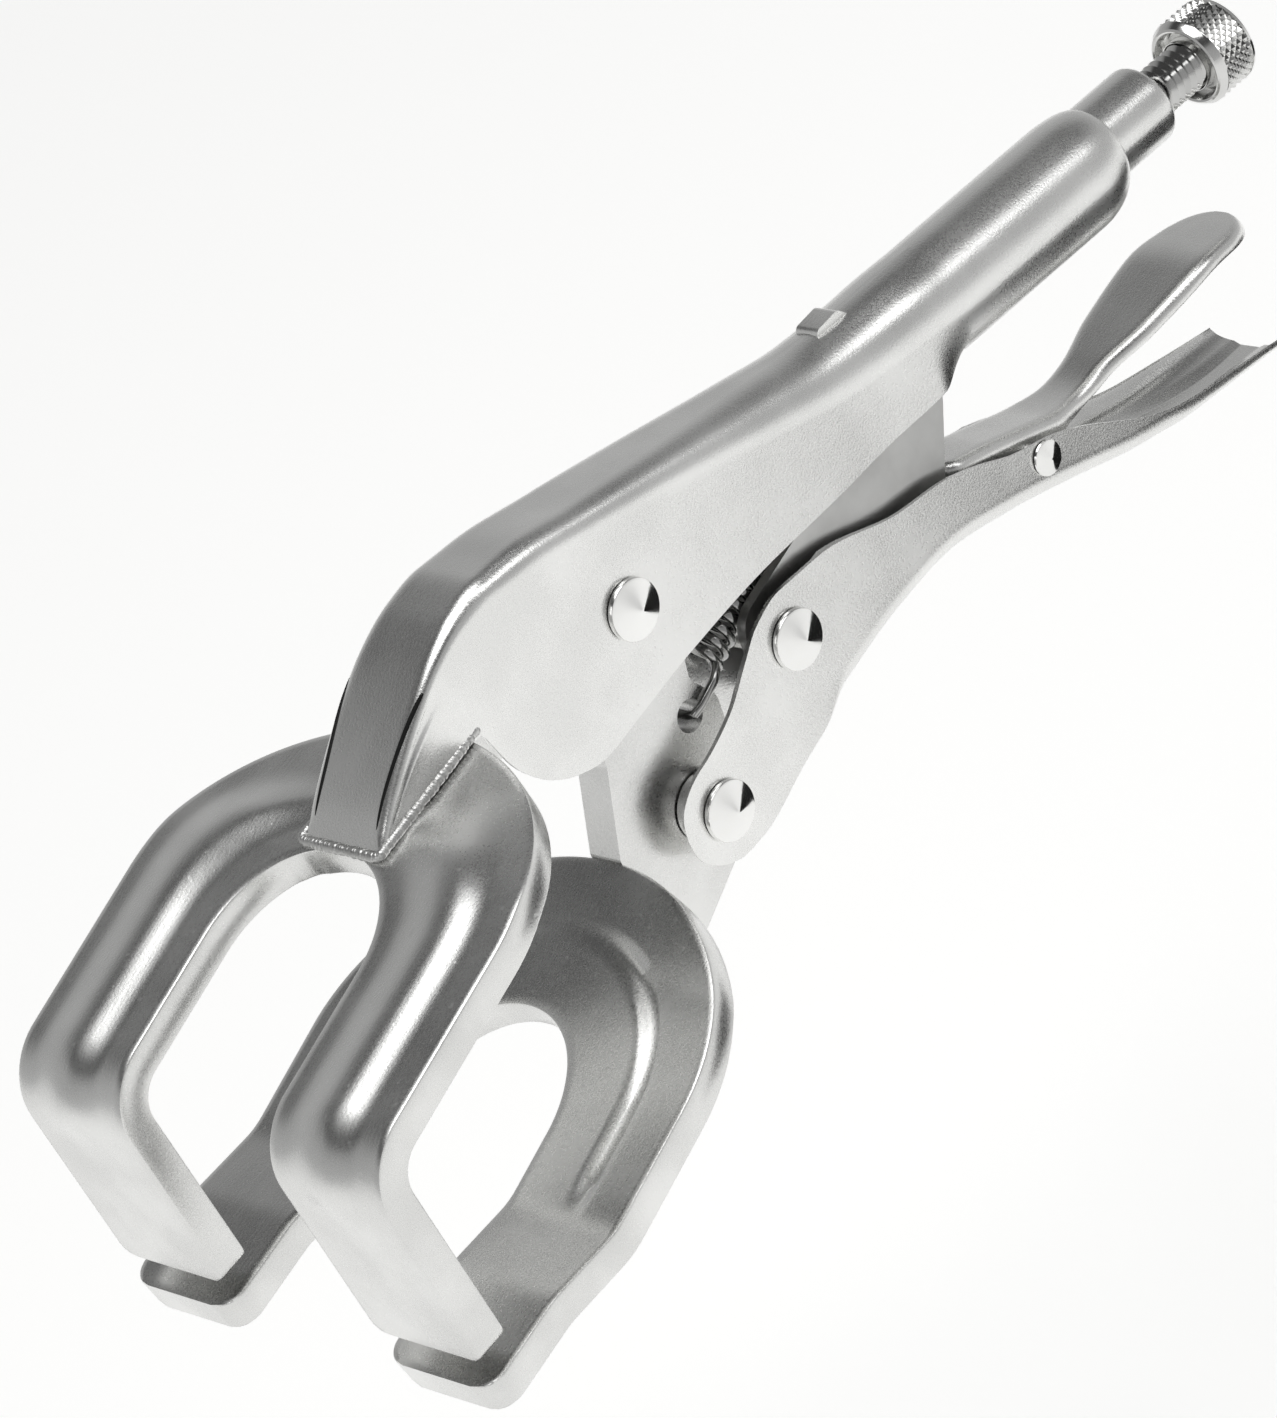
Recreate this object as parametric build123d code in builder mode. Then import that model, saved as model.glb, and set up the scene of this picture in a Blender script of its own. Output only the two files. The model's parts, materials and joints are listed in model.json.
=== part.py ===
from build123d import *
import os
from math import atan2, cos, hypot, sin

# Locking pliers with forked jaws for holding work either side of a weld. The tool stands
# upright on the heels of its lower fork and on the tail of its lever. Lengths are in mm.
# Every outline is drawn on the side plane, whose first axis u runs back along the handle
# from the jaw pivot and whose second axis v runs up towards the spine of the handle.

# ---- driving dimensions ---------------------------------------------------------------
channel_width = 17.0          # outside width of the handle and lever channels
sheet = 2.2                   # wall of the pressed channels
spine_radius = 4.0            # rounding of the outside corners of the handle's spine
side_gap = 0.3                # clearance each side of a piece that swings in a channel
running_gap = 0.05            # radial clearance of a pivot in its hole

# pivots, as (u, v) from the jaw pivot
lever_pivot_u, lever_pivot_v = 1.9, -37.8
link_pivot_u, link_pivot_v = 25.3, -23.0
release_pivot_u, release_pivot_v = 82.3, -28.8
thrust_u, thrust_v = 66.0, 1.0        # where the link bears against the adjusting screw
thrust_gap = 5.0                      # free space between the link and the screw

rivet_shank_diameter = 6.0
rivet_head_diameter = 9.6
rivet_head_height = 1.5
rivet_cone_height = 0.7
release_pin_diameter = 3.6
release_head_diameter = 5.8
release_head_height = 1.0
release_cone_height = 0.4
cone_angle = 70.0

# barrel, and the neck and adjusting screw, whose axis is a little above the barrel's
barrel_v = 1.4
barrel_diameter = 18.8
barrel_start_u = 72.0
barrel_floor_u = 81.0         # where the closed underside of the barrel begins
barrel_end_u = 113.0
screw_v = 2.8
neck_start_u = 121.0
neck_end_u = 132.5
neck_diameter = 13.4
neck_wall = 1.6
nut_flange_diameter = 11.4
nut_flange_length = 3.0
thread_diameter = 8.2
thread_pitch = 1.5
thread_depth = 0.75
thread_gap = 0.08
knob_face_u = 143.0
knob_length = 9.0
knob_diameter = 15.1
knob_chamfer = 1.2
knob_recess = 2.0

# forked jaws
fork_plate = 5.5              # thickness of the fork plates
fork_half_width = 40.0
slot_half_width = 16.5
fork_round_length = 33.0      # length of the rounded back of each fork, in plan
upper_back_u, upper_back_v = -33.2, 0.4
upper_bend_u, upper_bend_v = -58.0, -4.7
knuckle_u, knuckle_v = -100.2, -20.6
upper_tip_u, upper_tip_v = -94.7, -58.4
lower_back_u, lower_back_v = -14.5, -35.3
upper_slot_u = -73.0          # centre of the round end of each slot
lower_slot_u = -55.5
knuckle_radius = 9.0
lower_dip_u, lower_dip_v = -68.0, -58.4
lower_step_u, lower_step_v = -80.0, -57.6
lower_tip_u, lower_tip_v = -96.3, -62.4
upper_bead_start_u, upper_bead_end_u = -50.0, -91.0    # the raised beads on the tines
lower_bead_start_u, lower_bead_end_u = -40.0, -82.0
weld_radius = 1.5
bead_width = 9.0
bead_height = 1.4

# lower jaw shank
shank_plate = 6.6
spring_hole_u, spring_hole_v = 6.0, -24.4
spring_hole_diameter = 5.2

shank_foot_v = -38.0
shank_heel_v = -44.0
spacer_diameter = 11.0

# return spring and its anchor
spring_hook = 9.0
spring_diameter = 6.6
spring_wire = 1.5
anchor_u, anchor_v = 56.0, -1.5
anchor_sheet = 2.0

# toggle link
link_sheet = 1.8
link_inner_width = 8.0
link_end_radius = 5.5
link_shank_diameter = 5.0
web_start_u = 30.0            # the lever is open underneath in front of this

# release lever
release_sheet = 1.8
release_width = 11.6

# the two heels that the tool stands on
fork_heel_u, fork_heel_v = -95.6, -67.9
tail_heel_u, tail_heel_v = 136.0, -44.8
pivot_x = -25.07              # places the origin under the middle of the tool

# ---- frame ----------------------------------------------------------------------------
tilt = atan2(tail_heel_v - fork_heel_v, tail_heel_u - fork_heel_u)
pivot_z = fork_heel_u * sin(tilt) - fork_heel_v * cos(tilt)
side = Plane(
    origin=(pivot_x, 0, pivot_z),
    x_dir=(cos(tilt), 0, -sin(tilt)),
    z_dir=(0, -1, 0),
)
channel_half = channel_width / 2
channel_inner = channel_half - sheet
shank_half = shank_plate / 2
barrel_radius = barrel_diameter / 2
barrel_bore = barrel_radius - sheet
top_v = barrel_v + barrel_radius
nut_diameter = neck_diameter - 2 * neck_wall


def across(u, v):
    """A plane square to the handle, through the point u along it and v above the pivot."""
    return Plane(
        origin=side.from_local_coords(Vector(u, v, 0)),
        x_dir=(0, 1, 0),
        z_dir=side.x_dir,
    )


def over(u, v):
    """A plane that looks down on the point (u, v), with its axes along u and across."""
    return Plane(
        origin=side.from_local_coords(Vector(u, v, 0)),
        x_dir=side.x_dir,
        z_dir=side.y_dir,
    )


def place(shape):
    """The (u, v, across) coordinates of the centre of an edge or face."""
    return side.to_local_coords(shape.center())


def finish(part, name):
    """Label a finished piece and write it out."""
    part.label = name
    export_step(part, f"parts/{name}.step")


os.makedirs("parts", exist_ok=True)

# ---- upper handle: a pressed channel that closes into a barrel --------------------------
nose_u = -56.0
nose_slope = 0.93             # rise of the flat strip over the nose
crown_u = -27.5
crown_radius = 14.0
spine_bend_u = 52.0
spine_bend_radius = 80.0
fork_slope = (upper_bend_v - upper_back_v) / (upper_bend_u - upper_back_u)
nose_v = upper_back_v + fork_slope * (nose_u - upper_back_u)
crown_v = nose_v + nose_slope * (crown_u - nose_u)
skirt = 30.0                  # how far the cavity runs out below the channel

with BuildPart() as handle_cavity:
    with BuildSketch(side):
        with BuildLine():
            low_u, low_v = nose_u - skirt, nose_v - nose_slope * skirt
            FilletPolyline(
                (low_u, low_v), (crown_u, crown_v), (spine_bend_u, top_v), (barrel_floor_u, top_v),
                radius=(crown_radius, spine_bend_radius),
            )
            Polyline((barrel_floor_u, top_v), (barrel_floor_u, low_v), (low_u, low_v))
        make_face()
        offset(amount=-sheet, kind=Kind.INTERSECTION)
    extrude(amount=channel_inner, both=True)

with BuildPart() as upper_handle:
    with BuildSketch(side):
        with BuildLine():
            FilletPolyline(
                (nose_u, nose_v), (crown_u, crown_v), (spine_bend_u, top_v), (barrel_start_u + 4, top_v),
                radius=(crown_radius, spine_bend_radius),
            )
            FilletPolyline(
                (barrel_start_u + 4, top_v), (barrel_start_u + 4, -3.0), (69, -8.2), (30, -9.6),
                (2, -13.6), (-15.5, -18.2), (-27, -14.5), (upper_back_u, upper_back_v),
                radius=(1, 6, 60, 60, 12, 9),
            )
            Line((upper_back_u, upper_back_v), (nose_u, nose_v))
        make_face()
    extrude(amount=channel_half, both=True)
    crest = [e for e in upper_handle.edges() if place(e).Y > 9 and abs(place(e).Z) > 1]
    fillet(crest, radius=spine_radius)
    with BuildSketch(across(barrel_start_u, barrel_v)):
        Circle(barrel_radius)
    extrude(amount=barrel_end_u - barrel_start_u)
    with BuildSketch(across(barrel_end_u, barrel_v)):
        Circle(barrel_radius)
    with BuildSketch(across(neck_start_u, screw_v)):
        Circle(neck_diameter / 2)
    loft()
    with BuildSketch(across(neck_start_u, screw_v)):
        Circle(neck_diameter / 2)
    extrude(amount=neck_end_u - neck_start_u)
    add(handle_cavity.part, mode=Mode.SUBTRACT)
    with BuildSketch(across(barrel_start_u - 2, barrel_v)):
        Circle(barrel_bore)
    extrude(amount=barrel_end_u - barrel_start_u, mode=Mode.SUBTRACT)
    with BuildSketch(across(barrel_end_u - 3, screw_v)):
        Circle(nut_diameter / 2)
    extrude(amount=neck_end_u - barrel_end_u + 4, mode=Mode.SUBTRACT)
    # the lanced tab that anchors the return spring, raised above the spine
    with BuildSketch(side):
        with BuildLine():
            Polyline(
                (anchor_u - 5, 9.4), (anchor_u - 3, 12.6), (anchor_u + 6, 11.9), (anchor_u + 8, 8.4),
                (anchor_u + anchor_sheet, 8.4), (anchor_u + anchor_sheet, anchor_v - 3),
                (anchor_u, anchor_v - 3), (anchor_u, 8.8), close=True,
            )
        make_face()
    extrude(amount=2.4, both=True)
    with BuildSketch(over(anchor_u, anchor_v)):
        with Locations((anchor_sheet / 2, 0)):
            Rectangle(2 * anchor_sheet, spring_wire + 0.6)
    extrude(amount=spring_wire + 0.4, both=True, mode=Mode.SUBTRACT)
    # pivot holes
    with BuildSketch(side):
        Circle(rivet_shank_diameter / 2)
    extrude(amount=channel_width, both=True, mode=Mode.SUBTRACT)
finish(upper_handle.part, "upper_handle")

# ---- adjusting nut, crimped into the neck ----------------------------------------------
nut_start_u = barrel_end_u - 3 - nut_flange_length
with BuildPart() as adjusting_nut:
    with BuildSketch(across(nut_start_u, screw_v)):
        Circle(nut_flange_diameter / 2)
    extrude(amount=nut_flange_length)
    with BuildSketch(across(nut_start_u, screw_v)):
        Circle(nut_diameter / 2)
    extrude(amount=neck_end_u - nut_start_u)
    with BuildSketch(across(nut_start_u, screw_v)):
        Circle(thread_diameter / 2 + thread_gap)
    extrude(amount=neck_end_u - nut_start_u, mode=Mode.SUBTRACT)
finish(adjusting_nut.part, "adjusting_nut")


# ---- forked jaws --------------------------------------------------------------------------
def fork_plan(back_u, back_v, slot_u, tip_u):
    """The plan of a fork: a rounded back, two parallel tines and a round-ended slot."""
    with BuildSketch(over(back_u, back_v)) as plan:
        shoulder = -fork_round_length
        tip = tip_u - back_u
        with BuildLine():
            EllipticalCenterArc(
                (shoulder, 0), fork_round_length, fork_half_width, start_angle=-90, arc_size=180
            )
            Line((shoulder, fork_half_width), (tip, fork_half_width))
            Line((tip, fork_half_width), (tip, -fork_half_width))
            Line((tip, -fork_half_width), (shoulder, -fork_half_width))
        make_face()
        with Locations(((slot_u - back_u + tip) / 2 - slot_half_width, 0)):
            Rectangle(slot_u - back_u - tip + 2 * slot_half_width, 2 * slot_half_width, mode=Mode.SUBTRACT)
        with Locations((slot_u - back_u, 0)):
            Circle(slot_half_width, mode=Mode.SUBTRACT)
    return plan.sketch


upper_weld_line = side.x_dir * -1 + side.y_dir * -fork_slope
nose_run_length = hypot(nose_u - upper_back_u, nose_v - upper_back_v)
lower_slope = (lower_dip_v - lower_back_v) / (lower_dip_u - lower_back_u)
lower_weld_line = side.x_dir * -1 + side.y_dir * -lower_slope
lower_weld_length = 16.0
tine_centre = (fork_half_width + slot_half_width) / 2
plan_reach = 90.0             # long enough to pass through a whole fork


def bead_patch(start_u, start_v, end_u):
    """Two strips, seen in plan, that keep a raised bead to the middle of each tine."""
    with BuildSketch(over(start_u, start_v)) as patch:
        with Locations((end_u / 2 - start_u / 2, tine_centre), (end_u / 2 - start_u / 2, -tine_centre)):
            SlotOverall(start_u - end_u, bead_width)
    return patch.sketch


def fork_path(points, radii):
    """The line that a fork plate follows, seen from the side."""
    with BuildLine() as path:
        FilletPolyline(*points, radius=radii)
    return path.line


def strip(path, thickness, which):
    """The cut edge of a plate of the given thickness on one side of its line."""
    with BuildSketch(side) as edge:
        with BuildLine():
            add(path)
            offset(amount=thickness, side=which)
        make_face()
    return edge.sketch


upper_path = fork_path(
    [
        (upper_back_u, upper_back_v), (upper_bend_u, upper_bend_v),
        (knuckle_u, knuckle_v), (upper_tip_u, upper_tip_v),
    ],
    [30, knuckle_radius],
)
with BuildPart() as upper_bead:
    extrude(strip(upper_path, bead_height, Side.RIGHT), amount=fork_half_width, both=True)
    extrude(
        bead_patch(upper_bead_start_u, upper_back_v, upper_bead_end_u),
        amount=plan_reach, both=True, mode=Mode.INTERSECT,
    )

with BuildPart() as upper_fork_jaw:
    extrude(strip(upper_path, fork_plate, Side.LEFT), amount=fork_half_width, both=True)
    plan_face = fork_plan(upper_back_u, upper_back_v, upper_slot_u, knuckle_u - 2)
    extrude(plan_face, amount=plan_reach, both=True, mode=Mode.INTERSECT)
    add(upper_bead.part)
finish(upper_fork_jaw.part, "upper_fork_jaw")

lower_path = fork_path(
    [
        (lower_back_u, lower_back_v), (lower_dip_u, lower_dip_v),
        (lower_step_u, lower_step_v), (lower_tip_u, lower_tip_v),
    ],
    [9, 9],
)
with BuildPart() as lower_bead:
    extrude(strip(lower_path, fork_plate + bead_height, Side.LEFT), amount=fork_half_width, both=True)
    extrude(
        bead_patch(lower_bead_start_u, lower_back_v, lower_bead_end_u),
        amount=plan_reach, both=True, mode=Mode.INTERSECT,
    )

with BuildPart() as lower_groove:
    extrude(strip(lower_path, bead_height, Side.LEFT), amount=fork_half_width, both=True)
    extrude(
        bead_patch(lower_bead_start_u, lower_back_v, lower_bead_end_u),
        amount=plan_reach, both=True, mode=Mode.INTERSECT,
    )

with BuildPart() as lower_fork_jaw:
    extrude(strip(lower_path, fork_plate, Side.LEFT), amount=fork_half_width, both=True)
    plan_face = fork_plan(lower_back_u, lower_back_v, lower_slot_u, lower_tip_u - fork_plate)
    extrude(plan_face, amount=plan_reach, both=True, mode=Mode.INTERSECT)
    add(lower_bead.part)
    add(lower_groove.part, mode=Mode.SUBTRACT)
finish(lower_fork_jaw.part, "lower_fork_jaw")

# weld beads where each fork is joined to its carrier
with BuildPart() as upper_jaw_weld:
    for hand in (1, -1):
        start = side.from_local_coords(Vector(upper_back_u - 1, upper_back_v, hand * channel_half))
        with BuildSketch(Plane(origin=start, z_dir=upper_weld_line)):
            Circle(weld_radius)
        extrude(amount=nose_run_length)
    add(upper_handle.part, mode=Mode.SUBTRACT)
    add(upper_fork_jaw.part, mode=Mode.SUBTRACT)
finish(upper_jaw_weld.part, "upper_jaw_weld")

# ---- lower jaw shank ------------------------------------------------------------------------
with BuildPart() as lower_jaw_shank:
    with BuildSketch(side):
        with BuildLine():
            FilletPolyline(
                (-15.8, shank_foot_v), (-10.6, -18), (-11, 10.5), (10, 10.5), (10.2, -20),
                (12.5, -30), (9.5, -46), (-4, -54.5), (-13, -60), (-34, -52.5), (-33, shank_heel_v),
                radius=(4, 9, 9, 9, 6, 9, 20, 7, 1),
            )
            Line((-33, shank_heel_v), (-15.8, shank_foot_v))
        make_face()
        Circle(rivet_shank_diameter / 2 + running_gap, mode=Mode.SUBTRACT)
        with Locations((lever_pivot_u, lever_pivot_v)):
            Circle(rivet_shank_diameter / 2 + running_gap, mode=Mode.SUBTRACT)
        with Locations((spring_hole_u, spring_hole_v)):
            Circle(spring_hole_diameter / 2, mode=Mode.SUBTRACT)
    extrude(amount=shank_half, both=True)
    add(lower_fork_jaw.part, mode=Mode.SUBTRACT)
finish(lower_jaw_shank.part, "lower_jaw_shank")

with BuildPart() as lower_jaw_weld:
    for hand in (1, -1):
        foot = Vector(lower_back_u - 1, lower_back_v - fork_plate, hand * shank_half)
        start = side.from_local_coords(foot)
        with BuildSketch(Plane(origin=start, z_dir=lower_weld_line)):
            Circle(weld_radius)
        extrude(amount=lower_weld_length)
    add(lower_jaw_shank.part, mode=Mode.SUBTRACT)
    add(lower_fork_jaw.part, mode=Mode.SUBTRACT)
finish(lower_jaw_weld.part, "lower_jaw_weld")


# ---- rivets and spacers -------------------------------------------------------------------------
def rivet(u, v, shank, head, head_height, cone):
    """A pivot rivet with a low, slightly pointed head on each outside wall."""
    with BuildPart() as pin:
        with BuildSketch(side):
            with Locations((u, v)):
                Circle(shank / 2)
        extrude(amount=channel_half, both=True)
        for hand in (1, -1):
            with BuildSketch(side.offset(hand * channel_half)):
                with Locations((u, v)):
                    Circle(head / 2)
            extrude(amount=hand * head_height)
            with BuildSketch(side.offset(hand * (channel_half + head_height))):
                with Locations((u, v)):
                    Circle(head / 2)
            extrude(amount=hand * cone, taper=cone_angle)
    return pin.part


def spacers(u, v, bore):
    """A pair of washers that centre the shank plate between the channel walls."""
    with BuildPart() as pair:
        for hand in (1, -1):
            with BuildSketch(side.offset(hand * (shank_half + side_gap))):
                with Locations((u, v)):
                    Circle(spacer_diameter / 2)
                    Circle(bore / 2, mode=Mode.SUBTRACT)
            extrude(amount=hand * (channel_inner - shank_half - side_gap))
    return pair.part


jaw_pivot_rivet = rivet(
    0, 0, rivet_shank_diameter, rivet_head_diameter, rivet_head_height, rivet_cone_height
)
finish(jaw_pivot_rivet, "jaw_pivot_rivet")
lever_pivot_rivet = rivet(
    lever_pivot_u, lever_pivot_v, rivet_shank_diameter, rivet_head_diameter,
    rivet_head_height, rivet_cone_height,
)
finish(lever_pivot_rivet, "lever_pivot_rivet")
link_pivot_rivet = rivet(
    link_pivot_u, link_pivot_v, link_shank_diameter, rivet_head_diameter,
    rivet_head_height, rivet_cone_height,
)
finish(link_pivot_rivet, "link_pivot_rivet")
release_lever_pin = rivet(
    release_pivot_u, release_pivot_v, release_pin_diameter, release_head_diameter,
    release_head_height, release_cone_height,
)
finish(release_lever_pin, "release_lever_pin")
finish(spacers(0, 0, rivet_shank_diameter), "jaw_pivot_spacers")
finish(spacers(lever_pivot_u, lever_pivot_v, rivet_shank_diameter), "lever_pivot_spacers")

# ---- lever: the lower handle channel -------------------------------------------------------------
cavity_top = 30.0
cavity_end = tail_heel_u + 4.0
with BuildPart() as lever_cavity:
    with BuildSketch(side):
        with BuildLine():
            FilletPolyline(
                (-20, cavity_top), (-20, -70), (web_start_u, -70), (web_start_u, -35.4),
                (46.6, -30.9), (59, -29.2), (74, -31.2), (101.5, -38.6), (116, -41.4),
                (cavity_end, tail_heel_v + sheet), (cavity_end, cavity_top),
                radius=(1, 1, 2, 30, 30, 30, 30, 30, 1),
            )
            Line((cavity_end, cavity_top), (-20, cavity_top))
        make_face()
    extrude(amount=channel_inner, both=True)

with BuildPart() as lever:
    with BuildSketch(side):
        with BuildLine():
            FilletPolyline(
                (tail_heel_u, tail_heel_v + 3), (124, -40), (112, -38.4), (101, -34.2),
                (88, -26.6), (75, -24.4),
                (60, -18.9), (45, -16.2), (24, -13.2), (10.5, -26.4), (-6, -31.5), (-7, -46.4),
                (6, -47.2), (24, -38.9), (46.6, -33.1), (59, -31.4), (74, -33.4), (101.5, -40.8), (116, -43.6),
                (tail_heel_u, tail_heel_v),
                radius=(20, 20, 20, 8, 10, 30, 30, 9, 12, 7, 8.5, 6, 30, 30, 30, 30, 30, 30),
            )
            Line((tail_heel_u, tail_heel_v), (tail_heel_u, tail_heel_v + 3))
        make_face()
    extrude(amount=channel_half, both=True)
    add(lever_cavity.part, mode=Mode.SUBTRACT)
    with BuildSketch(side):
        with Locations((lever_pivot_u, lever_pivot_v)):
            Circle(rivet_shank_diameter / 2)
        with Locations((link_pivot_u, link_pivot_v)):
            Circle(link_shank_diameter / 2)
        with Locations((release_pivot_u, release_pivot_v)):
            Circle(release_pin_diameter / 2)
    extrude(amount=channel_width, both=True, mode=Mode.SUBTRACT)
finish(lever.part, "lever")

# ---- toggle link ---------------------------------------------------------------------------------
link_half = link_inner_width / 2 + link_sheet
with BuildPart() as toggle_link:
    with BuildSketch(side):
        with BuildLine():
            FilletPolyline(
                (thrust_u + link_end_radius, thrust_v + link_end_radius), (70.4, -9), (64.2, -22.5),
                (30, -29.5), (link_pivot_u - link_end_radius - 1, -29.5), (19, -16.4), (40, -9.5),
                (thrust_u - 9, thrust_v + link_end_radius),
                radius=(link_end_radius - 0.1, 12, 3, 20, 6, 5, 12, 8), close=True,
            )
        make_face()
        with Locations((link_pivot_u, link_pivot_v)):
            Circle(link_shank_diameter / 2 + running_gap, mode=Mode.SUBTRACT)
    extrude(amount=link_half, both=True)
    with BuildSketch(side):
        with BuildLine():
            Polyline(
                (0, 30), (0, -60), (36, -60), (36, -23), (56, -17), (58, -60), (90, -60), (90, 30),
                close=True,
            )
        make_face()
    extrude(amount=link_inner_width / 2, both=True, mode=Mode.SUBTRACT)
finish(toggle_link.part, "toggle_link")

# ---- release lever -------------------------------------------------------------------------------
release_path = fork_path(
    [(66.5, -20.6), (80, -22.6), (95, -28.6), (108, -23.6), (140, -21.6)],
    [20, 14, 30],
)
with BuildPart() as release_lever:
    extrude(strip(release_path, release_sheet, Side.RIGHT), amount=channel_half, both=True)
    with BuildSketch(over(release_pivot_u, release_pivot_v)):
        with BuildLine():
            nose = 66 - release_pivot_u
            FilletPolyline(
                (nose, 5.8), (10, 5.8), (18, 5.0), (34, 8.4), (52, 8.4), (57.8, 6),
                (57.8, -6), (52, -8.4), (34, -8.4), (18, -5.0), (10, -5.8), (nose, -5.8),
                radius=(30, 30, 30, 8, 2, 2, 8, 30, 30, 30),
            )
            Line((nose, -5.8), (nose, 5.8))
        make_face()
    extrude(amount=plan_reach, both=True, mode=Mode.INTERSECT)
    with BuildSketch(side):
        with BuildLine():
            FilletPolyline(
                (72, -22.4), (76, -31.9), (88.5, -31.9), (92, -27.2), (80, -23.4),
                radius=(0, 3, 3, 2, 6), close=True,
            )
        make_face()
    extrude(amount=release_width / 2, both=True)
    with BuildSketch(side):
        with BuildLine():
            Polyline((60, -22.8), (79, -25.3), (95, -30.6), (95, -45), (60, -45), close=True)
        make_face()
    extrude(amount=release_width / 2 - release_sheet, both=True, mode=Mode.SUBTRACT)
    with BuildSketch(side):
        with Locations((release_pivot_u, release_pivot_v)):
            Circle(release_pin_diameter / 2 + running_gap)
    extrude(amount=channel_width, both=True, mode=Mode.SUBTRACT)
finish(release_lever.part, "release_lever")

# ---- adjusting screw -----------------------------------------------------------------------------
screw_tip_u = thrust_u + link_end_radius + thrust_gap
with BuildPart() as adjusting_screw:
    with BuildSketch(across(screw_tip_u, screw_v)):
        Circle(thread_diameter / 2 - thread_depth)
    extrude(amount=knob_face_u + knob_length / 2 - screw_tip_u)
    turns = int((knob_face_u - 1 - screw_tip_u - 4) / thread_pitch)
    for turn in range(turns):
        crest_u = knob_face_u - 1 - turn * thread_pitch
        with BuildSketch(across(crest_u - thread_pitch * 0.45, screw_v)):
            Circle(thread_diameter / 2 - thread_depth)
        with BuildSketch(across(crest_u, screw_v)):
            Circle(thread_diameter / 2)
        loft()
        with BuildSketch(across(crest_u, screw_v)):
            Circle(thread_diameter / 2)
        with BuildSketch(across(crest_u + thread_pitch * 0.45, screw_v)):
            Circle(thread_diameter / 2 - thread_depth)
        loft()
finish(adjusting_screw.part, "adjusting_screw")

with BuildPart() as knurled_knob:
    with BuildSketch(across(knob_face_u, screw_v)):
        Circle(knob_diameter / 2)
    extrude(amount=knob_length)
    chamfer(knurled_knob.edges(), length=knob_chamfer)
    with BuildSketch(across(knob_face_u, screw_v)):
        Circle(thread_diameter / 2 + 1.6)
    extrude(amount=knob_recess, mode=Mode.SUBTRACT)
    with BuildSketch(across(knob_face_u, screw_v)):
        Circle(thread_diameter / 2 - thread_depth + running_gap)
    extrude(amount=knob_length / 2 + running_gap, mode=Mode.SUBTRACT)
finish(knurled_knob.part, "knurled_knob")

# ---- return spring -------------------------------------------------------------------------------
def at(u, v, y):
    """The point at u and v on the side plane, y to the left of the middle of the tool."""
    return side.from_local_coords(Vector(u, v, -y))


spring_run = hypot(anchor_u - spring_hole_u, anchor_v - spring_hole_v)
run_u = (anchor_u - spring_hole_u) / spring_run
run_v = (anchor_v - spring_hole_v) / spring_run
spring_way = side.x_dir * run_u + side.y_dir * run_v
coil_start = spring_hook
coil_end = spring_run - spring_hook
coil_mean = (spring_diameter - spring_wire) / 2
hook_side = shank_half + spring_wire / 2 + side_gap
coil_foot = at(spring_hole_u, spring_hole_v, 0) + spring_way * coil_start
coil_head = at(spring_hole_u, spring_hole_v, 0) + spring_way * coil_end
with BuildPart() as return_spring:
    with BuildSketch(Plane(origin=coil_foot, z_dir=spring_way)):
        Circle(spring_diameter / 2)
        Circle(spring_diameter / 2 - spring_wire, mode=Mode.SUBTRACT)
    extrude(amount=coil_end - coil_start)
    # hook through the shank: out of the coil, past the plate and across the hole
    with BuildLine():
        jaw_hook = FilletPolyline(
            coil_foot + spring_way * 2 + side.z_dir * coil_mean,
            coil_foot - spring_way * 2 + side.z_dir * hook_side,
            at(spring_hole_u, spring_hole_v, -hook_side),
            at(spring_hole_u, spring_hole_v, shank_half),
            radius=(1.5, 1.5),
        )
    with BuildSketch(Plane(origin=jaw_hook @ 0, z_dir=jaw_hook % 0)):
        Circle(spring_wire / 2)
    sweep(path=jaw_hook)
    # hook in the anchor tab: out of the coil and up behind the tab
    anchor_back = spring_run + anchor_sheet + 1
    with BuildLine():
        tab_hook = FilletPolyline(
            coil_head - spring_way * 2 + side.z_dir * coil_mean,
            coil_head + spring_way * 3,
            at(spring_hole_u + run_u * anchor_back, spring_hole_v + run_v * anchor_back, 0),
            radius=(1.5,),
        )
    with BuildSketch(Plane(origin=tab_hook @ 0, z_dir=tab_hook % 0)):
        Circle(spring_wire / 2)
    sweep(path=tab_hook)
finish(return_spring.part, "return_spring")
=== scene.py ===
import bpy
import bmesh
import json
import math
import numpy as np
from mathutils import Matrix, Vector


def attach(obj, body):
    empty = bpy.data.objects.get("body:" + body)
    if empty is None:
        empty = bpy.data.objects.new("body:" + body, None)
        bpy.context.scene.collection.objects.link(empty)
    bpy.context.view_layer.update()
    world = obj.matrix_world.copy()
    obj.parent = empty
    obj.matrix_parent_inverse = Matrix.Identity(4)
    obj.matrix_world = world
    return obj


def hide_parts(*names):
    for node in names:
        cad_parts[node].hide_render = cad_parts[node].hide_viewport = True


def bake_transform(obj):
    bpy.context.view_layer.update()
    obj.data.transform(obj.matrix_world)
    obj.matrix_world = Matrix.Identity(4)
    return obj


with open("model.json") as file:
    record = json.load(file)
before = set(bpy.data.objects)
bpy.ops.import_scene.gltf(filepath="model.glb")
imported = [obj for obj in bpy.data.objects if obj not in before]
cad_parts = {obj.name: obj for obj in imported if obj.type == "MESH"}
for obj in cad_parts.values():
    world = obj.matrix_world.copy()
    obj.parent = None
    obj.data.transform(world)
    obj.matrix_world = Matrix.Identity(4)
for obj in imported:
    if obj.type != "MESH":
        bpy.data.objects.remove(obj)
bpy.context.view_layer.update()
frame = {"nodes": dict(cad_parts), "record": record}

bl_info = {
    "name": "Forked Locking Pliers",
    "version": (1, 0, 0),
    "blender": (4, 5, 0),
    "location": "View3D > Sidebar > Pliers",
    "description": "Builds the visible pieces of a pair of locking pliers with forked jaws",
    "category": "Object",
}

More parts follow.
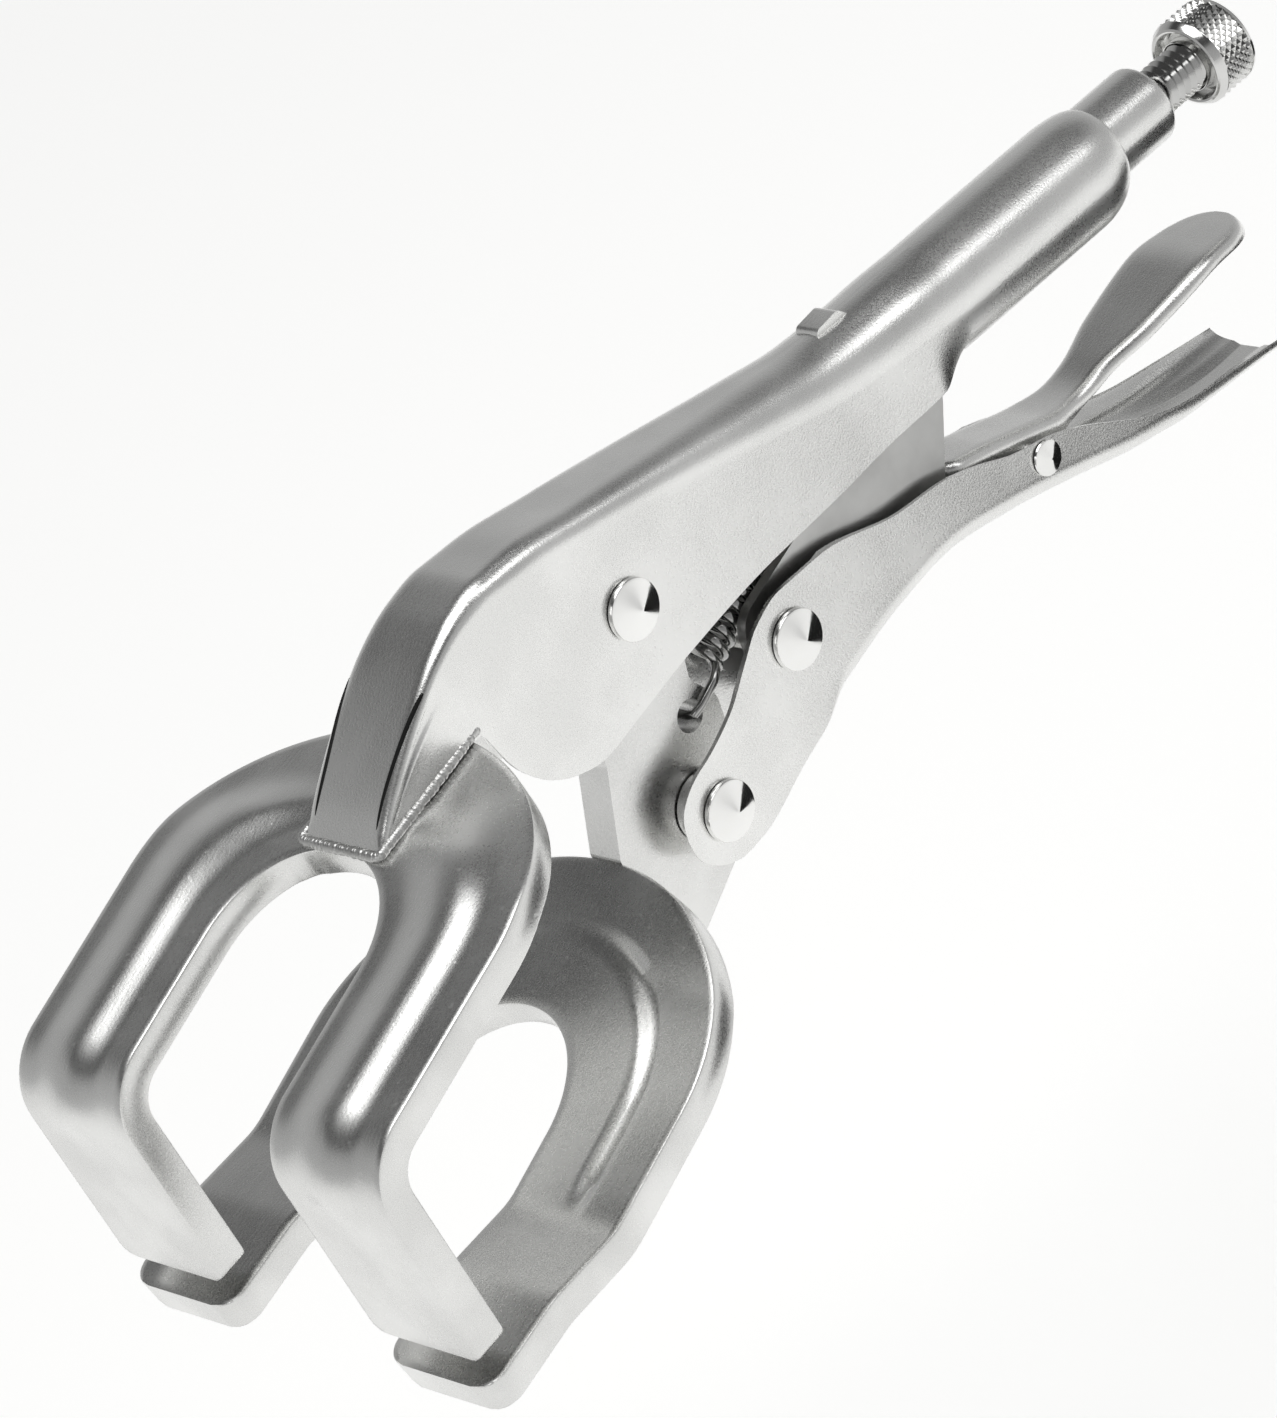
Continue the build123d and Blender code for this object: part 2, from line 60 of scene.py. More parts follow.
# ---- the tool's own frame ----
# A point is given in millimetres as u along the handle from the jaw pivot, v above it and
# y across it. ALONG and ABOVE are the directions of u and v in the packed model.
MM = 0.001
JOINTS = {joint["name"]: joint for joint in frame["record"]["behaviour"]["joints"]}
PIVOT = Vector(JOINTS["jaw_hinge"]["pos_m"])
ALONG = Vector(JOINTS["screw_slide"]["axis"]).normalized()
ABOVE = Vector((-ALONG.z, 0.0, ALONG.x))
ACROSS = Vector((0.0, 1.0, 0.0))


def at(u, v, y=0.0):
    """The place of a point of the tool, in metres."""
    return PIVOT + (ALONG * u + ABOVE * v + ACROSS * y) * MM


def measured(place):
    """The (u, v) of a place, in millimetres."""
    step = Vector(place) - PIVOT
    return step.dot(ALONG) / MM, step.dot(ABOVE) / MM


LEVER_PIVOT = measured(JOINTS["lever_hinge"]["pos_m"])
LINK_PIVOT = measured(JOINTS["link_hinge"]["pos_m"])
RELEASE_PIVOT = measured(JOINTS["release_hinge"]["pos_m"])
SCREW_V = measured(JOINTS["knob_turn"]["pos_m"])[1]

# ---- sizes that several pieces share, in millimetres ----
HALF_WIDTH = 8.5        # outside of the handle and lever channels
SHEET = 2.2             # wall of the pressed channels
INNER_HALF = HALF_WIDTH - SHEET
SHANK_HALF = 3.3
FORK_PLATE = 5.5


def settings():
    """The sizes and colours that the panel shows."""
    return bpy.context.scene.pliers


# ---- curves ----
def ease(low, high, x):
    """A smooth step from 0 at low to 1 at high."""
    t = min(max((x - low) / (high - low), 0.0), 1.0)
    return t * t * (3.0 - 2.0 * t)


def through(table, x):
    """The height at x of a smooth curve through a table of points, without overshoot."""
    xs = [p[0] for p in table]
    ys = [p[1] for p in table]
    if x <= xs[0]:
        return ys[0]
    if x >= xs[-1]:
        return ys[-1]
    k = max(i for i in range(len(xs) - 1) if xs[i] <= x)
    slopes = [(ys[i + 1] - ys[i]) / (xs[i + 1] - xs[i]) for i in range(len(xs) - 1)]

    def tangent(i):
        if i == 0 or i == len(xs) - 1:
            return slopes[min(i, len(slopes) - 1)]
        a, b = slopes[i - 1], slopes[i]
        return 0.0 if a * b <= 0.0 else 2.0 * a * b / (a + b)

    h = xs[k + 1] - xs[k]
    t = (x - xs[k]) / h
    m0, m1 = tangent(k) * h, tangent(k + 1) * h
    return (
        (2 * t**3 - 3 * t**2 + 1) * ys[k] + (t**3 - 2 * t**2 + t) * m0
        + (3 * t**2 - 2 * t**3) * ys[k + 1] + (t**3 - t**2) * m1
    )


def rounded(corners, closed=True, step=8.0):
    """Points of an outline given as (u, v, radius) corners, each rounded by an arc."""
    points = []
    count = len(corners)
    for i, (u, v, radius) in enumerate(corners):
        here = Vector((u, v))
        if not closed and i in (0, count - 1):
            points.append(here)
            continue
        back = (Vector(corners[i - 1][:2]) - here).normalized()
        on = (Vector(corners[(i + 1) % count][:2]) - here).normalized()
        half = back.angle(on) / 2.0
        if radius <= 0.0 or half > math.pi / 2 - 0.01:
            points.append(here)
            continue
        reach = radius / math.tan(half)
        centre = here + (back + on).normalized() * (radius / math.sin(half))
        start = here + back * reach - centre
        turn = math.pi - 2.0 * half
        side = math.copysign(1.0, start.cross(here + on * reach - centre))
        steps = max(2, int(math.degrees(turn) / step))
        for k in range(steps + 1):
            angle = side * turn * k / steps
            points.append(centre + Matrix.Rotation(angle, 2) @ start)
    return points


def measured_path(corners):
    """A reader of the (point, normal) at a length along a rounded open outline, and its length."""
    points = rounded(corners, closed=False, step=4.0)
    lengths = [0.0]
    for a, b in zip(points, points[1:]):
        lengths.append(lengths[-1] + (b - a).length)
    us = np.array([p.x for p in points])
    vs = np.array([p.y for p in points])
    total = lengths[-1]

    def where(s):
        inside = min(max(s, 0.0), total)
        u = float(np.interp(inside, lengths, us))
        v = float(np.interp(inside, lengths, vs))
        return Vector((u, v))

    def read(s):
        tangent = (where(s + 0.5) - where(s - 0.5)).normalized()
        point = where(s) + tangent * (s - min(max(s, 0.0), total))
        return point, Vector((tangent.y, -tangent.x))

    return read, total


# ---- meshes ----
def linked(name, data):
    """A new object in the scene."""
    thing = bpy.data.objects.new(name, data)
    bpy.context.scene.collection.objects.link(thing)
    return thing


def shade_smooth(mesh):
    """Shades every face of a mesh smooth."""
    for polygon in mesh.polygons:
        polygon.use_smooth = True


def new_piece(name, mesh, material, sharp=35.0):
    """Links a mesh as a smooth-shaded piece with edges sharper than an angle kept sharp."""
    piece = linked(name, mesh)
    mesh.materials.clear()
    mesh.materials.append(material)
    shade_smooth(mesh)
    if sharp is not None:
        mesh.set_sharp_from_angle(angle=math.radians(sharp))
    return piece


def mesh_of(name, points, faces):
    """A mesh from points and faces, with its doubles merged and its faces turned outwards."""
    mesh = bpy.data.meshes.new(name)
    mesh.from_pydata([tuple(p) for p in points], [], faces)
    work = bmesh.new()
    work.from_mesh(mesh)
    bmesh.ops.remove_doubles(work, verts=work.verts, dist=1e-6)
    bmesh.ops.dissolve_degenerate(work, edges=work.edges, dist=1e-7)
    bmesh.ops.recalc_face_normals(work, faces=work.faces)
    work.to_mesh(mesh)
    work.free()
    return mesh


def rows_to_faces(rows, columns, loop_rows=False, loop_columns=False, keep=None):
    """The quads of a grid of points that is stored row by row."""
    faces = []
    for i in range(rows if loop_rows else rows - 1):
        for j in range(columns if loop_columns else columns - 1):
            if keep is not None and not keep(i, j):
                continue
            a = i * columns + j
            b = i * columns + (j + 1) % columns
            c = ((i + 1) % rows) * columns + (j + 1) % columns
            d = ((i + 1) % rows) * columns + j
            faces.append((a, b, c, d))
    return faces


def face_outwards(mesh, outwardness):
    """Flips a sheet if fewer than half of the faces with an outwardness have a positive one."""
    values = [value for value in map(outwardness, mesh.polygons) if value is not None]
    if sum(value > 0.0 for value in values) * 2 < len(values):
        mesh.flip_normals()


def settle(piece):
    """Turns a piece with modifiers into a plain mesh."""
    bpy.context.view_layer.update()
    graph = bpy.context.evaluated_depsgraph_get()
    mesh = bpy.data.meshes.new_from_object(piece.evaluated_get(graph))
    piece.modifiers.clear()
    piece.data = mesh
    return piece


def thicken(piece, thickness, rim_bevel=0.35):
    """Gives a sheet its wall, on the inside, and rounds the rims."""
    wall = piece.modifiers.new("wall", "SOLIDIFY")
    wall.thickness = thickness * MM
    wall.offset = -1.0
    wall.use_even_offset = True
    wall.thickness_clamp = 1.5
    settle(piece)
    round_edges(piece, rim_bevel, 50.0, 2)


def round_edges(piece, width, angle=40.0, segments=3):
    """Rounds a piece's sharp edges and keeps its flat faces flat in shading."""
    edge = piece.modifiers.new("edges", "BEVEL")
    edge.width = width * MM
    edge.segments = segments
    edge.limit_method = "ANGLE"
    edge.angle_limit = math.radians(angle)
    edge.use_clamp_overlap = True
    edge.harden_normals = True
    shade_smooth(piece.data)
    return settle(piece)


def plate(name, corners, holes, low_y, high_y, material, bevel=0.4):
    """A flat plate cut to a rounded outline, with round holes, between two sides."""
    work = bmesh.new()
    loops = [rounded(corners)]
    for u, v, radius in holes:
        ring = [Vector((u + radius * math.cos(a), v + radius * math.sin(a)))
                for a in np.linspace(0.0, 2.0 * math.pi, 33)[:-1]]
        loops.append(ring)
    edges = []
    for loop in loops:
        verts = []
        for p in loop:
            if not verts or (verts[-1][1] - p).length > 0.02:
                verts.append((work.verts.new(at(p.x, p.y, low_y)), p))
        if (verts[0][1] - verts[-1][1]).length < 0.02:
            work.verts.remove(verts.pop()[0])
        for k, (vert, _) in enumerate(verts):
            edges.append(work.edges.new((vert, verts[(k + 1) % len(verts)][0])))
    bmesh.ops.triangle_fill(work, use_beauty=True, use_dissolve=False, edges=edges)
    grown = bmesh.ops.extrude_face_region(work, geom=list(work.faces))
    moved = [g for g in grown["geom"] if isinstance(g, bmesh.types.BMVert)]
    bmesh.ops.translate(work, verts=moved, vec=ACROSS * (high_y - low_y) * MM)
    bmesh.ops.recalc_face_normals(work, faces=work.faces)
    mesh = bpy.data.meshes.new(name)
    work.to_mesh(mesh)
    work.free()
    piece = new_piece(name, mesh, material, None)
    return round_edges(piece, bevel, 40.0, 3) if bevel else piece


def turned(name, profile, centre, axis, material, steps=72, sharp=35.0):
    """A piece turned about an axis, from (distance along, radius) points in millimetres."""
    axis = axis.normalized()
    side = axis.orthogonal().normalized()
    other = axis.cross(side)
    points = []
    for along, radius in profile:
        for k in range(steps):
            a = 2.0 * math.pi * k / steps
            ray = side * math.cos(a) + other * math.sin(a)
            points.append(centre + (axis * along + ray * max(radius, 1e-5)) * MM)
    faces = rows_to_faces(len(profile), steps, loop_columns=True, loop_rows=True)
    return new_piece(name, mesh_of(name, points, faces), material, sharp)


def joined(name, pieces, material, sharp=None):
    """One piece made of several."""
    work = bmesh.new()
    for piece in pieces:
        work.from_mesh(piece.data)
        bpy.data.objects.remove(piece)
    mesh = bpy.data.meshes.new(name)
    work.to_mesh(mesh)
    work.free()
    return new_piece(name, mesh, material, sharp)


def stands_for(piece, body, slot, *nodes):
    """Says what a finished piece moves with, what it replaces and whose finish it has."""
    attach(piece, body)
    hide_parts(*nodes)


# ---- shader maths ----
class Wire:
    """A value in a node tree, which can stand in a sum."""

    def __init__(self, tree, socket=None):
        self.tree = tree
        self.socket = socket

    def make(self, kind, inputs=None, output=0, **choices):
        """Adds a node of any kind, with its choices set first and then its inputs."""
        node = self.tree.nodes.new(kind)
        for key, value in choices.items():
            setattr(node, key, value)
        for key, value in (inputs or {}).items():
            socket = node.inputs[key]
            if isinstance(value, Wire):
                self.tree.links.new(value.socket, socket)
            else:
                socket.default_value = value
        return Wire(self.tree, node.outputs[output] if len(node.outputs) else None)

    def maths(self, operation, *others):
        """A sum of this value and any others."""
        return self.make("ShaderNodeMath", dict(enumerate((self, *others))), operation=operation)

    def __add__(self, other):
        return self.maths("ADD", other)

    __radd__ = __add__

    def __sub__(self, other):
        return self.maths("SUBTRACT", other)

    def __mul__(self, other):
        return self.maths("MULTIPLY", other)

    def __truediv__(self, other):
        return self.maths("DIVIDE", other)

    def between(self, low, high):
        """A clamped smooth step of this value from low to high."""
        inputs = {"Value": self, "From Min": low, "From Max": high}
        return self.make("ShaderNodeMapRange", inputs, interpolation_type="SMOOTHSTEP")

    def blend(self, first, second):
        """A mix of two colours by this value."""
        return self.make("ShaderNodeMix", {0: self, 6: first, 7: second}, 2, data_type="RGBA")


def emptied(owner):
    """A wire to start from in the emptied node tree of a material or a world."""
    owner.use_nodes = True
    owner.node_tree.nodes.clear()
    return Wire(owner.node_tree)


def toned(brightness, tint):
    """The colour of a tint at a brightness."""
    return tuple(brightness * share for share in tint) + (1.0,)


def plating(name, bright, dull, roughness, grain=0.25, brushed=0.0, pits=0.0, spread=0.1):
    """Satin nickel plating: a cloudy tone, fine grain, soft brushed lines and a few pits."""
    material = bpy.data.materials.new(name)
    start = emptied(material)
    tint = settings().metal_tint
    place = start.make("ShaderNodeTexCoord", output="Object")
    cloud = start.make("ShaderNodeTexNoise", {"Vector": place, "Scale": 70.0, "Detail": 5.0})
    fine = start.make("ShaderNodeTexNoise", {"Vector": place, "Scale": 2600.0, "Detail": 2.0})
    pulled = start.make("ShaderNodeMapping", {"Vector": place, "Scale": (60.0, 2400.0, 900.0)})
    lines = start.make("ShaderNodeTexNoise", {"Vector": pulled, "Scale": 1.0, "Detail": 3.0})
    spots = start.make("ShaderNodeTexNoise", {"Vector": place, "Scale": 700.0, "Detail": 1.0})
    pit = spots.between(0.70, 0.78)
    tone = cloud.between(0.3, 0.72)
    colour = tone.blend(toned(dull, tint), toned(bright, tint))
    rough = roughness + (cloud - 0.5) * spread + (fine - 0.5) * 0.12 + pit * pits * 0.3
    height = fine * grain + lines * brushed - pit * pits
    bump = start.make("ShaderNodeBump", {"Strength": 0.35, "Distance": 0.00012, "Height": height})
    shader = start.make("ShaderNodeBsdfPrincipled", {
        "Base Color": colour, "Metallic": 1.0, "Roughness": rough, "Normal": bump,
    })
    start.make("ShaderNodeOutputMaterial", {"Surface": shader})
    return material


FINISHES = {}


def plated(name):
    """A plating finish, made when it is first asked for."""
    recipes = {
        "pressed_sheet": dict(bright=0.87, dull=0.77, roughness=0.28, grain=0.5, brushed=0.2),
        "forged_plate": dict(bright=0.8, dull=0.68, roughness=0.28, grain=0.3, brushed=0.25, pits=0.2),
        "turned_bar": dict(bright=0.78, dull=0.68, roughness=0.22, grain=0.15),
        "rivet": dict(bright=0.9, dull=0.8, roughness=0.1, grain=0.03, spread=0.04),
        "weld": dict(bright=0.66, dull=0.5, roughness=0.38, grain=0.8, pits=0.6),
        # seam: near black, painted shade that stands for the shadow in the slits under the nose strip's edges
        "seam": dict(bright=0.04, dull=0.02, roughness=0.6),
        "spring": dict(bright=0.5, dull=0.34, roughness=0.16, grain=0.1),
        "link": dict(bright=0.66, dull=0.52, roughness=0.33, grain=0.3, pits=0.3),
        "screw": dict(bright=0.6, dull=0.42, roughness=0.12, grain=0.1),
        "knurl": dict(bright=0.72, dull=0.55, roughness=0.13, grain=0.12),
    }
    if name not in FINISHES:
        FINISHES[name] = plating(name, **recipes[name])
    return FINISHES[name]


# ---- geometry node trees ----
def growth_tree(name, sockets):
    """An empty geometry tree with named inputs, a wire to start from and the wire of each input."""
    tree = bpy.data.node_groups.new(name, "GeometryNodeTree")
    tree.interface.new_socket("Geometry", in_out="OUTPUT", socket_type="NodeSocketGeometry")
    for label, kind in sockets:
        tree.interface.new_socket(label, in_out="INPUT", socket_type="NodeSocket" + kind)
    entry = tree.nodes.new("NodeGroupInput")
    return tree, Wire(tree), {label: Wire(tree, entry.outputs[label]) for label, _ in sockets}


def close_tree(tree, result, material):
    """Ends a tree with real geometry in its material."""
    real = result.make("GeometryNodeRealizeInstances", {"Geometry": result})
    done = real.make("GeometryNodeSetMaterial", {"Geometry": real, "Material": material})
    exit_node = tree.nodes.new("NodeGroupOutput")
    tree.links.new(done.socket, exit_node.inputs["Geometry"])


def grow(name, tree, values, placed=None):
    """A piece grown by a tree from named values, as a plain mesh in place."""
    piece = linked(name, bpy.data.meshes.new(name))
    growth = piece.modifiers.new("growth", "NODES")
    growth.node_group = tree
    for item in tree.interface.items_tree:
        if item.in_out == "INPUT" and item.name in values:
            growth[item.identifier] = values[item.name]
    settle(piece)
    if placed is not None:
        piece.data.transform(placed)
    shade_smooth(piece.data)
    return piece


def coil_tree():
    """A wire of any number of sides wound evenly about the Z axis."""
    tree, start, into = growth_tree("coil", [
        ("Radius", "Float"), ("Height", "Float"), ("Turns", "Float"),
        ("Wire Radius", "Float"), ("Wire Sides", "Int"),
        ("Material", "Material"),
    ])
    spiral = start.make("GeometryNodeCurveSpiral", {
        "Resolution": 40, "Rotations": into["Turns"], "Start Radius": into["Radius"],
        "End Radius": into["Radius"], "Height": into["Height"],
    })
    steady = start.make("GeometryNodeSetCurveNormal", {"Curve": spiral}, mode="Z_UP")
    ring = start.make("GeometryNodeCurvePrimitiveCircle", {
        "Resolution": into["Wire Sides"], "Radius": into["Wire Radius"],
    })
    swept = start.make("GeometryNodeCurveToMesh", {
        "Curve": steady, "Profile Curve": ring, "Fill Caps": True,
    })
    close_tree(tree, swept, into["Material"])
    return tree


def knurl_tree():
    """Pointed four-sided studs in staggered rows round the X axis."""
    tree, start, into = growth_tree("knurl", [
        ("Radius", "Float"), ("Length", "Float"), ("Around", "Int"),
        ("Rows", "Int"), ("Stud Size", "Float"), ("Stud Height", "Float"),
        ("Material", "Material"),
    ])
    count = into["Around"] * into["Rows"]
    points = start.make("GeometryNodeMeshLine", {"Count": count})
    index = start.make("GeometryNodeInputIndex")
    row = (index / into["Around"] + 0.001).maths("FLOOR")
    place = index - row * into["Around"]
    stagger = row.maths("FLOORED_MODULO", 2.0) * 0.5
    angle = (place + stagger) * (2.0 * math.pi) / into["Around"]
    along = row / (into["Rows"] - 1.0) * into["Length"]
    y, z = angle.maths("COSINE"), angle.maths("SINE")
    ray = start.make("ShaderNodeCombineXYZ", {"X": 0.0, "Y": y, "Z": z})
    spot = start.make("ShaderNodeCombineXYZ", {
        "X": along, "Y": y * into["Radius"], "Z": z * into["Radius"],
    })
    spread = start.make("GeometryNodeSetPosition", {"Geometry": points, "Position": spot})
    stud = start.make("GeometryNodeMeshCone", {
        "Vertices": 4, "Radius Top": 0.0, "Radius Bottom": into["Stud Size"], "Depth": into["Stud Height"],
    }, fill_type="NONE")
    outwards = start.make("FunctionNodeAlignRotationToVector", {"Vector": ray}, axis="Z", pivot_axis="X")
    studs = start.make("GeometryNodeInstanceOnPoints", {
        "Points": spread, "Instance": stud, "Rotation": outwards,
    })
    close_tree(tree, studs, into["Material"])
    return tree


def ripple_tree():
    """Overlapping flattened drops laid along a line of points, as a weld cools."""
    tree, start, into = growth_tree("ripples", [
        ("Path", "Object"), ("Spacing", "Float"), ("Bead Radius", "Float"),
        ("Seed", "Int"), ("Material", "Material"),
    ])
    seam = start.make("GeometryNodeObjectInfo", {"Object": into["Path"]}, 4, transform_space="ORIGINAL")
    curve = start.make("GeometryNodeMeshToCurve", {"Mesh": seam})
    drops = start.make("GeometryNodeCurveToPoints", {
        "Curve": curve, "Length": into["Spacing"],
    }, mode="LENGTH")
    ball = start.make("GeometryNodeMeshIcoSphere", {"Radius": into["Bead Radius"], "Subdivisions": 3})
    size = start.make("FunctionNodeRandomValue", {
        "Min": 0.85, "Max": 1.1, "Seed": into["Seed"],
    }, 1, data_type="FLOAT")
    laid = start.make("GeometryNodeInstanceOnPoints", {
        "Points": drops, "Instance": ball, "Scale": size,
    })
    close_tree(tree, laid, into["Material"])
    return tree


TREES = {}


def tree_named(name):
    """A growth tree, made when it is first asked for."""
    if name not in TREES:
        TREES[name] = {"coil": coil_tree, "knurl": knurl_tree, "ripples": ripple_tree}[name]()
    return TREES[name]


def facing(direction, centre, up=ACROSS):
    """The placing that turns Z to a direction and moves the origin to a centre."""
    z = direction.normalized()
    x = up.cross(z).normalized()
    turned_axes = Matrix((x, z.cross(x), z)).transposed().to_4x4()
    return Matrix.Translation(centre) @ turned_axes


# ---- the handle ----
HANDLE_TOP = [
    (-56.6, -4.0), (-52.5, 0.7), (-48.0, 4.9), (-41.0, 10.7), (-34.5, 15.2), (-28.0, 18.2), (-21.0, 19.7),
    (-14.0, 19.7), (0.0, 17.9), (20.0, 15.1), (40.0, 12.3), (52.0, 10.9), (62.0, 10.7), (75.0, 10.8),
]
HANDLE_LOW = [
    (-56.6, -4.5), (-32.6, 0.4), (-31.4, -2.5), (-30.2, -6.0), (-28.7, -8.8), (-25.0, -13.0), (-20.3, -15.6),
    (-14.9, -16.8), (-5.7, -15.1), (6.0, -12.7), (25.6, -10.1), (43.0, -9.2), (55.0, -8.2), (68.0, -7.4),
    (75.3, -4.5),
]
BARREL_V, BARREL_RADIUS = 1.4, 9.4
NECK_RADIUS, NECK_END = 6.7, 132.5
LOWER_EDGE_END = 75.3       # where the lower edges start to meet under the barrel
SHOULDER_START, SHOULDER_LENGTH = 112.0, 7.5


def handle_column(u):
    """The (y, v) points of one crosswise section of the handle, from one lower edge to the other."""
    flat, arc, wall = 7, 9, 26
    top, low = through(HANDLE_TOP, u), through(HANDLE_LOW, u)
    # The walls spread to the barrel's width, and the top corners grow rounder on the way.
    width = HALF_WIDTH + (BARREL_RADIUS - HALF_WIDTH) * ease(50.0, 76.0, u)
    corner = 1.7 + 2.2 * ease(-44.0, -8.0, u) + 4.8 * ease(-5.0, 72.0, u)
    corner = min(corner, max((top - low) * 0.7, 0.05))
    # A groove is pressed into each wall beside the nose.
    press = 0.9 * ease(-54.5, -49.0, u) * (1.0 - ease(-46.0, -34.0, u))
    channel = [((width - corner) * k / flat, top) for k in range(flat)]
    for k in range(arc):
        a = math.pi / 2 * k / (arc - 1)
        channel.append((width - corner * (1 - math.sin(a)), top - corner * (1 - math.cos(a))))
    reach = top - corner - low
    for k in range(1, wall + 1):
        t = k / wall
        groove = ease(0.0, 0.06, t) * (1.0 - 0.6 * ease(0.16, 0.26, t)) * (1.0 - ease(0.3, 0.95, t))
        inwards = press * groove
        channel.append((width - inwards, top - corner - reach * t))
    # The channel closes into a round barrel, which steps down to the neck.
    round_part = ease(68.0, 79.0, u)
    turn_in = min(max((u - SHOULDER_START) / SHOULDER_LENGTH, 0.0), 1.0)
    shoulder = 1.0 - math.sqrt(1.0 - turn_in**2)
    radius = BARREL_RADIUS + (NECK_RADIUS - BARREL_RADIUS) * shoulder
    if u > NECK_END - 1.0:
        radius -= 1.0 - math.sqrt(max(0.0, 1.0 - (u - NECK_END + 1.0) ** 2))
    axis = BARREL_V + (SCREW_V - BARREL_V) * shoulder
    reach_low = math.radians(-37.7)
    if u < LOWER_EDGE_END:
        reach_low = math.asin(max(-1.0, min(1.0, (low - axis) / radius)))
    last = reach_low + (-math.pi / 2 - reach_low) * ease(LOWER_EDGE_END, 81.5, u)
    column = []
    for k, (y, v) in enumerate(channel):
        if k < flat + arc:
            a = math.pi / 2 * (1.0 - max(k - flat, 0) / (arc - 1))
        else:
            a = last * (k - flat - arc + 1) / wall
        tube = (radius * math.cos(a), axis + radius * math.sin(a))
        column.append((y + (tube[0] - y) * round_part, v + (tube[1] - v) * round_part))
    return [(-y, v) for y, v in reversed(column)] + column[1:]


def build_handle():
    """The pressed handle with its spring anchor and the seams beside its nose."""
    places = list(np.arange(-56.6, -20.0, 0.6)) + list(np.arange(-20.0, 56.0, 2.0))
    places += list(np.arange(56.0, 84.0, 0.7)) + list(np.arange(84.0, 110.0, 3.0))
    places += [110.0, SHOULDER_START]
    places += [SHOULDER_START + SHOULDER_LENGTH * math.sin(a) for a in np.linspace(0.1, math.pi / 2, 14)]
    places += list(np.arange(120.5, 131.0, 2.0))
    places += [NECK_END - 1.0 + math.sin(a) for a in np.linspace(0.0, math.pi / 2 - 0.05, 6)]
    columns = [handle_column(float(u)) for u in places]
    points = [at(float(u), v, y) for u, column in zip(places, columns) for y, v in column]
    mesh = mesh_of("handle_shell", points, rows_to_faces(len(places), len(columns[0])))
    piece = new_piece("handle_shell", mesh, plated("pressed_sheet"), 35.0)
    inside = at(20.0, 0.0)
    face_outwards(mesh, lambda face: face.normal.dot(face.center - inside))
    thicken(piece, SHEET, 0.3)
    anchor = plate(
        "spring_anchor",
        [(54.0, 9.0, 0.5), (55.2, 11.5, 0.9), (60.0, 12.0, 1.3), (63.0, 9.0, 0.5)], [], -2.3, 2.3,
        plated("pressed_sheet"), 0.8,
    )
    tongue = plate(
        "spring_tongue",
        [(53.5, 9.5, 0.5), (59.5, 9.5, 0.5), (58.5, -3.8, 2.0), (54.0, -3.8, 2.0)], [(56.3, -0.6, 1.1)],
        -1.0, 1.0, plated("pressed_sheet"), 0.3,
    )
    piece = joined("handle_channel", [piece, anchor, tongue], plated("pressed_sheet"))
    stands_for(piece, "handle", "plated_sheet", "upper_handle")
    # Near-black tubes along the slits beside the nose: painted shade that stands for the shadow in each slit,
    # not a part of the tool.
    seams = []
    for side in (-1, 1):
        line = []
        for t in np.linspace(0.0, 1.0, 26):
            u = -55.4 + 17.0 * t
            sunk = 0.3 + 0.6 * abs(2.0 * t - 1.0) ** 3
            line.append(at(u, through(HANDLE_TOP, u) - sunk, side * (6.7 + 1.1 * ease(-52.0, -36.0, u))))
        seams.append(tube("seam", line, 0.42, plated("seam")))
    seam = joined("nose_seams", seams, plated("seam"), 40.0)
    stands_for(seam, "handle", "plated_sheet", "upper_handle")


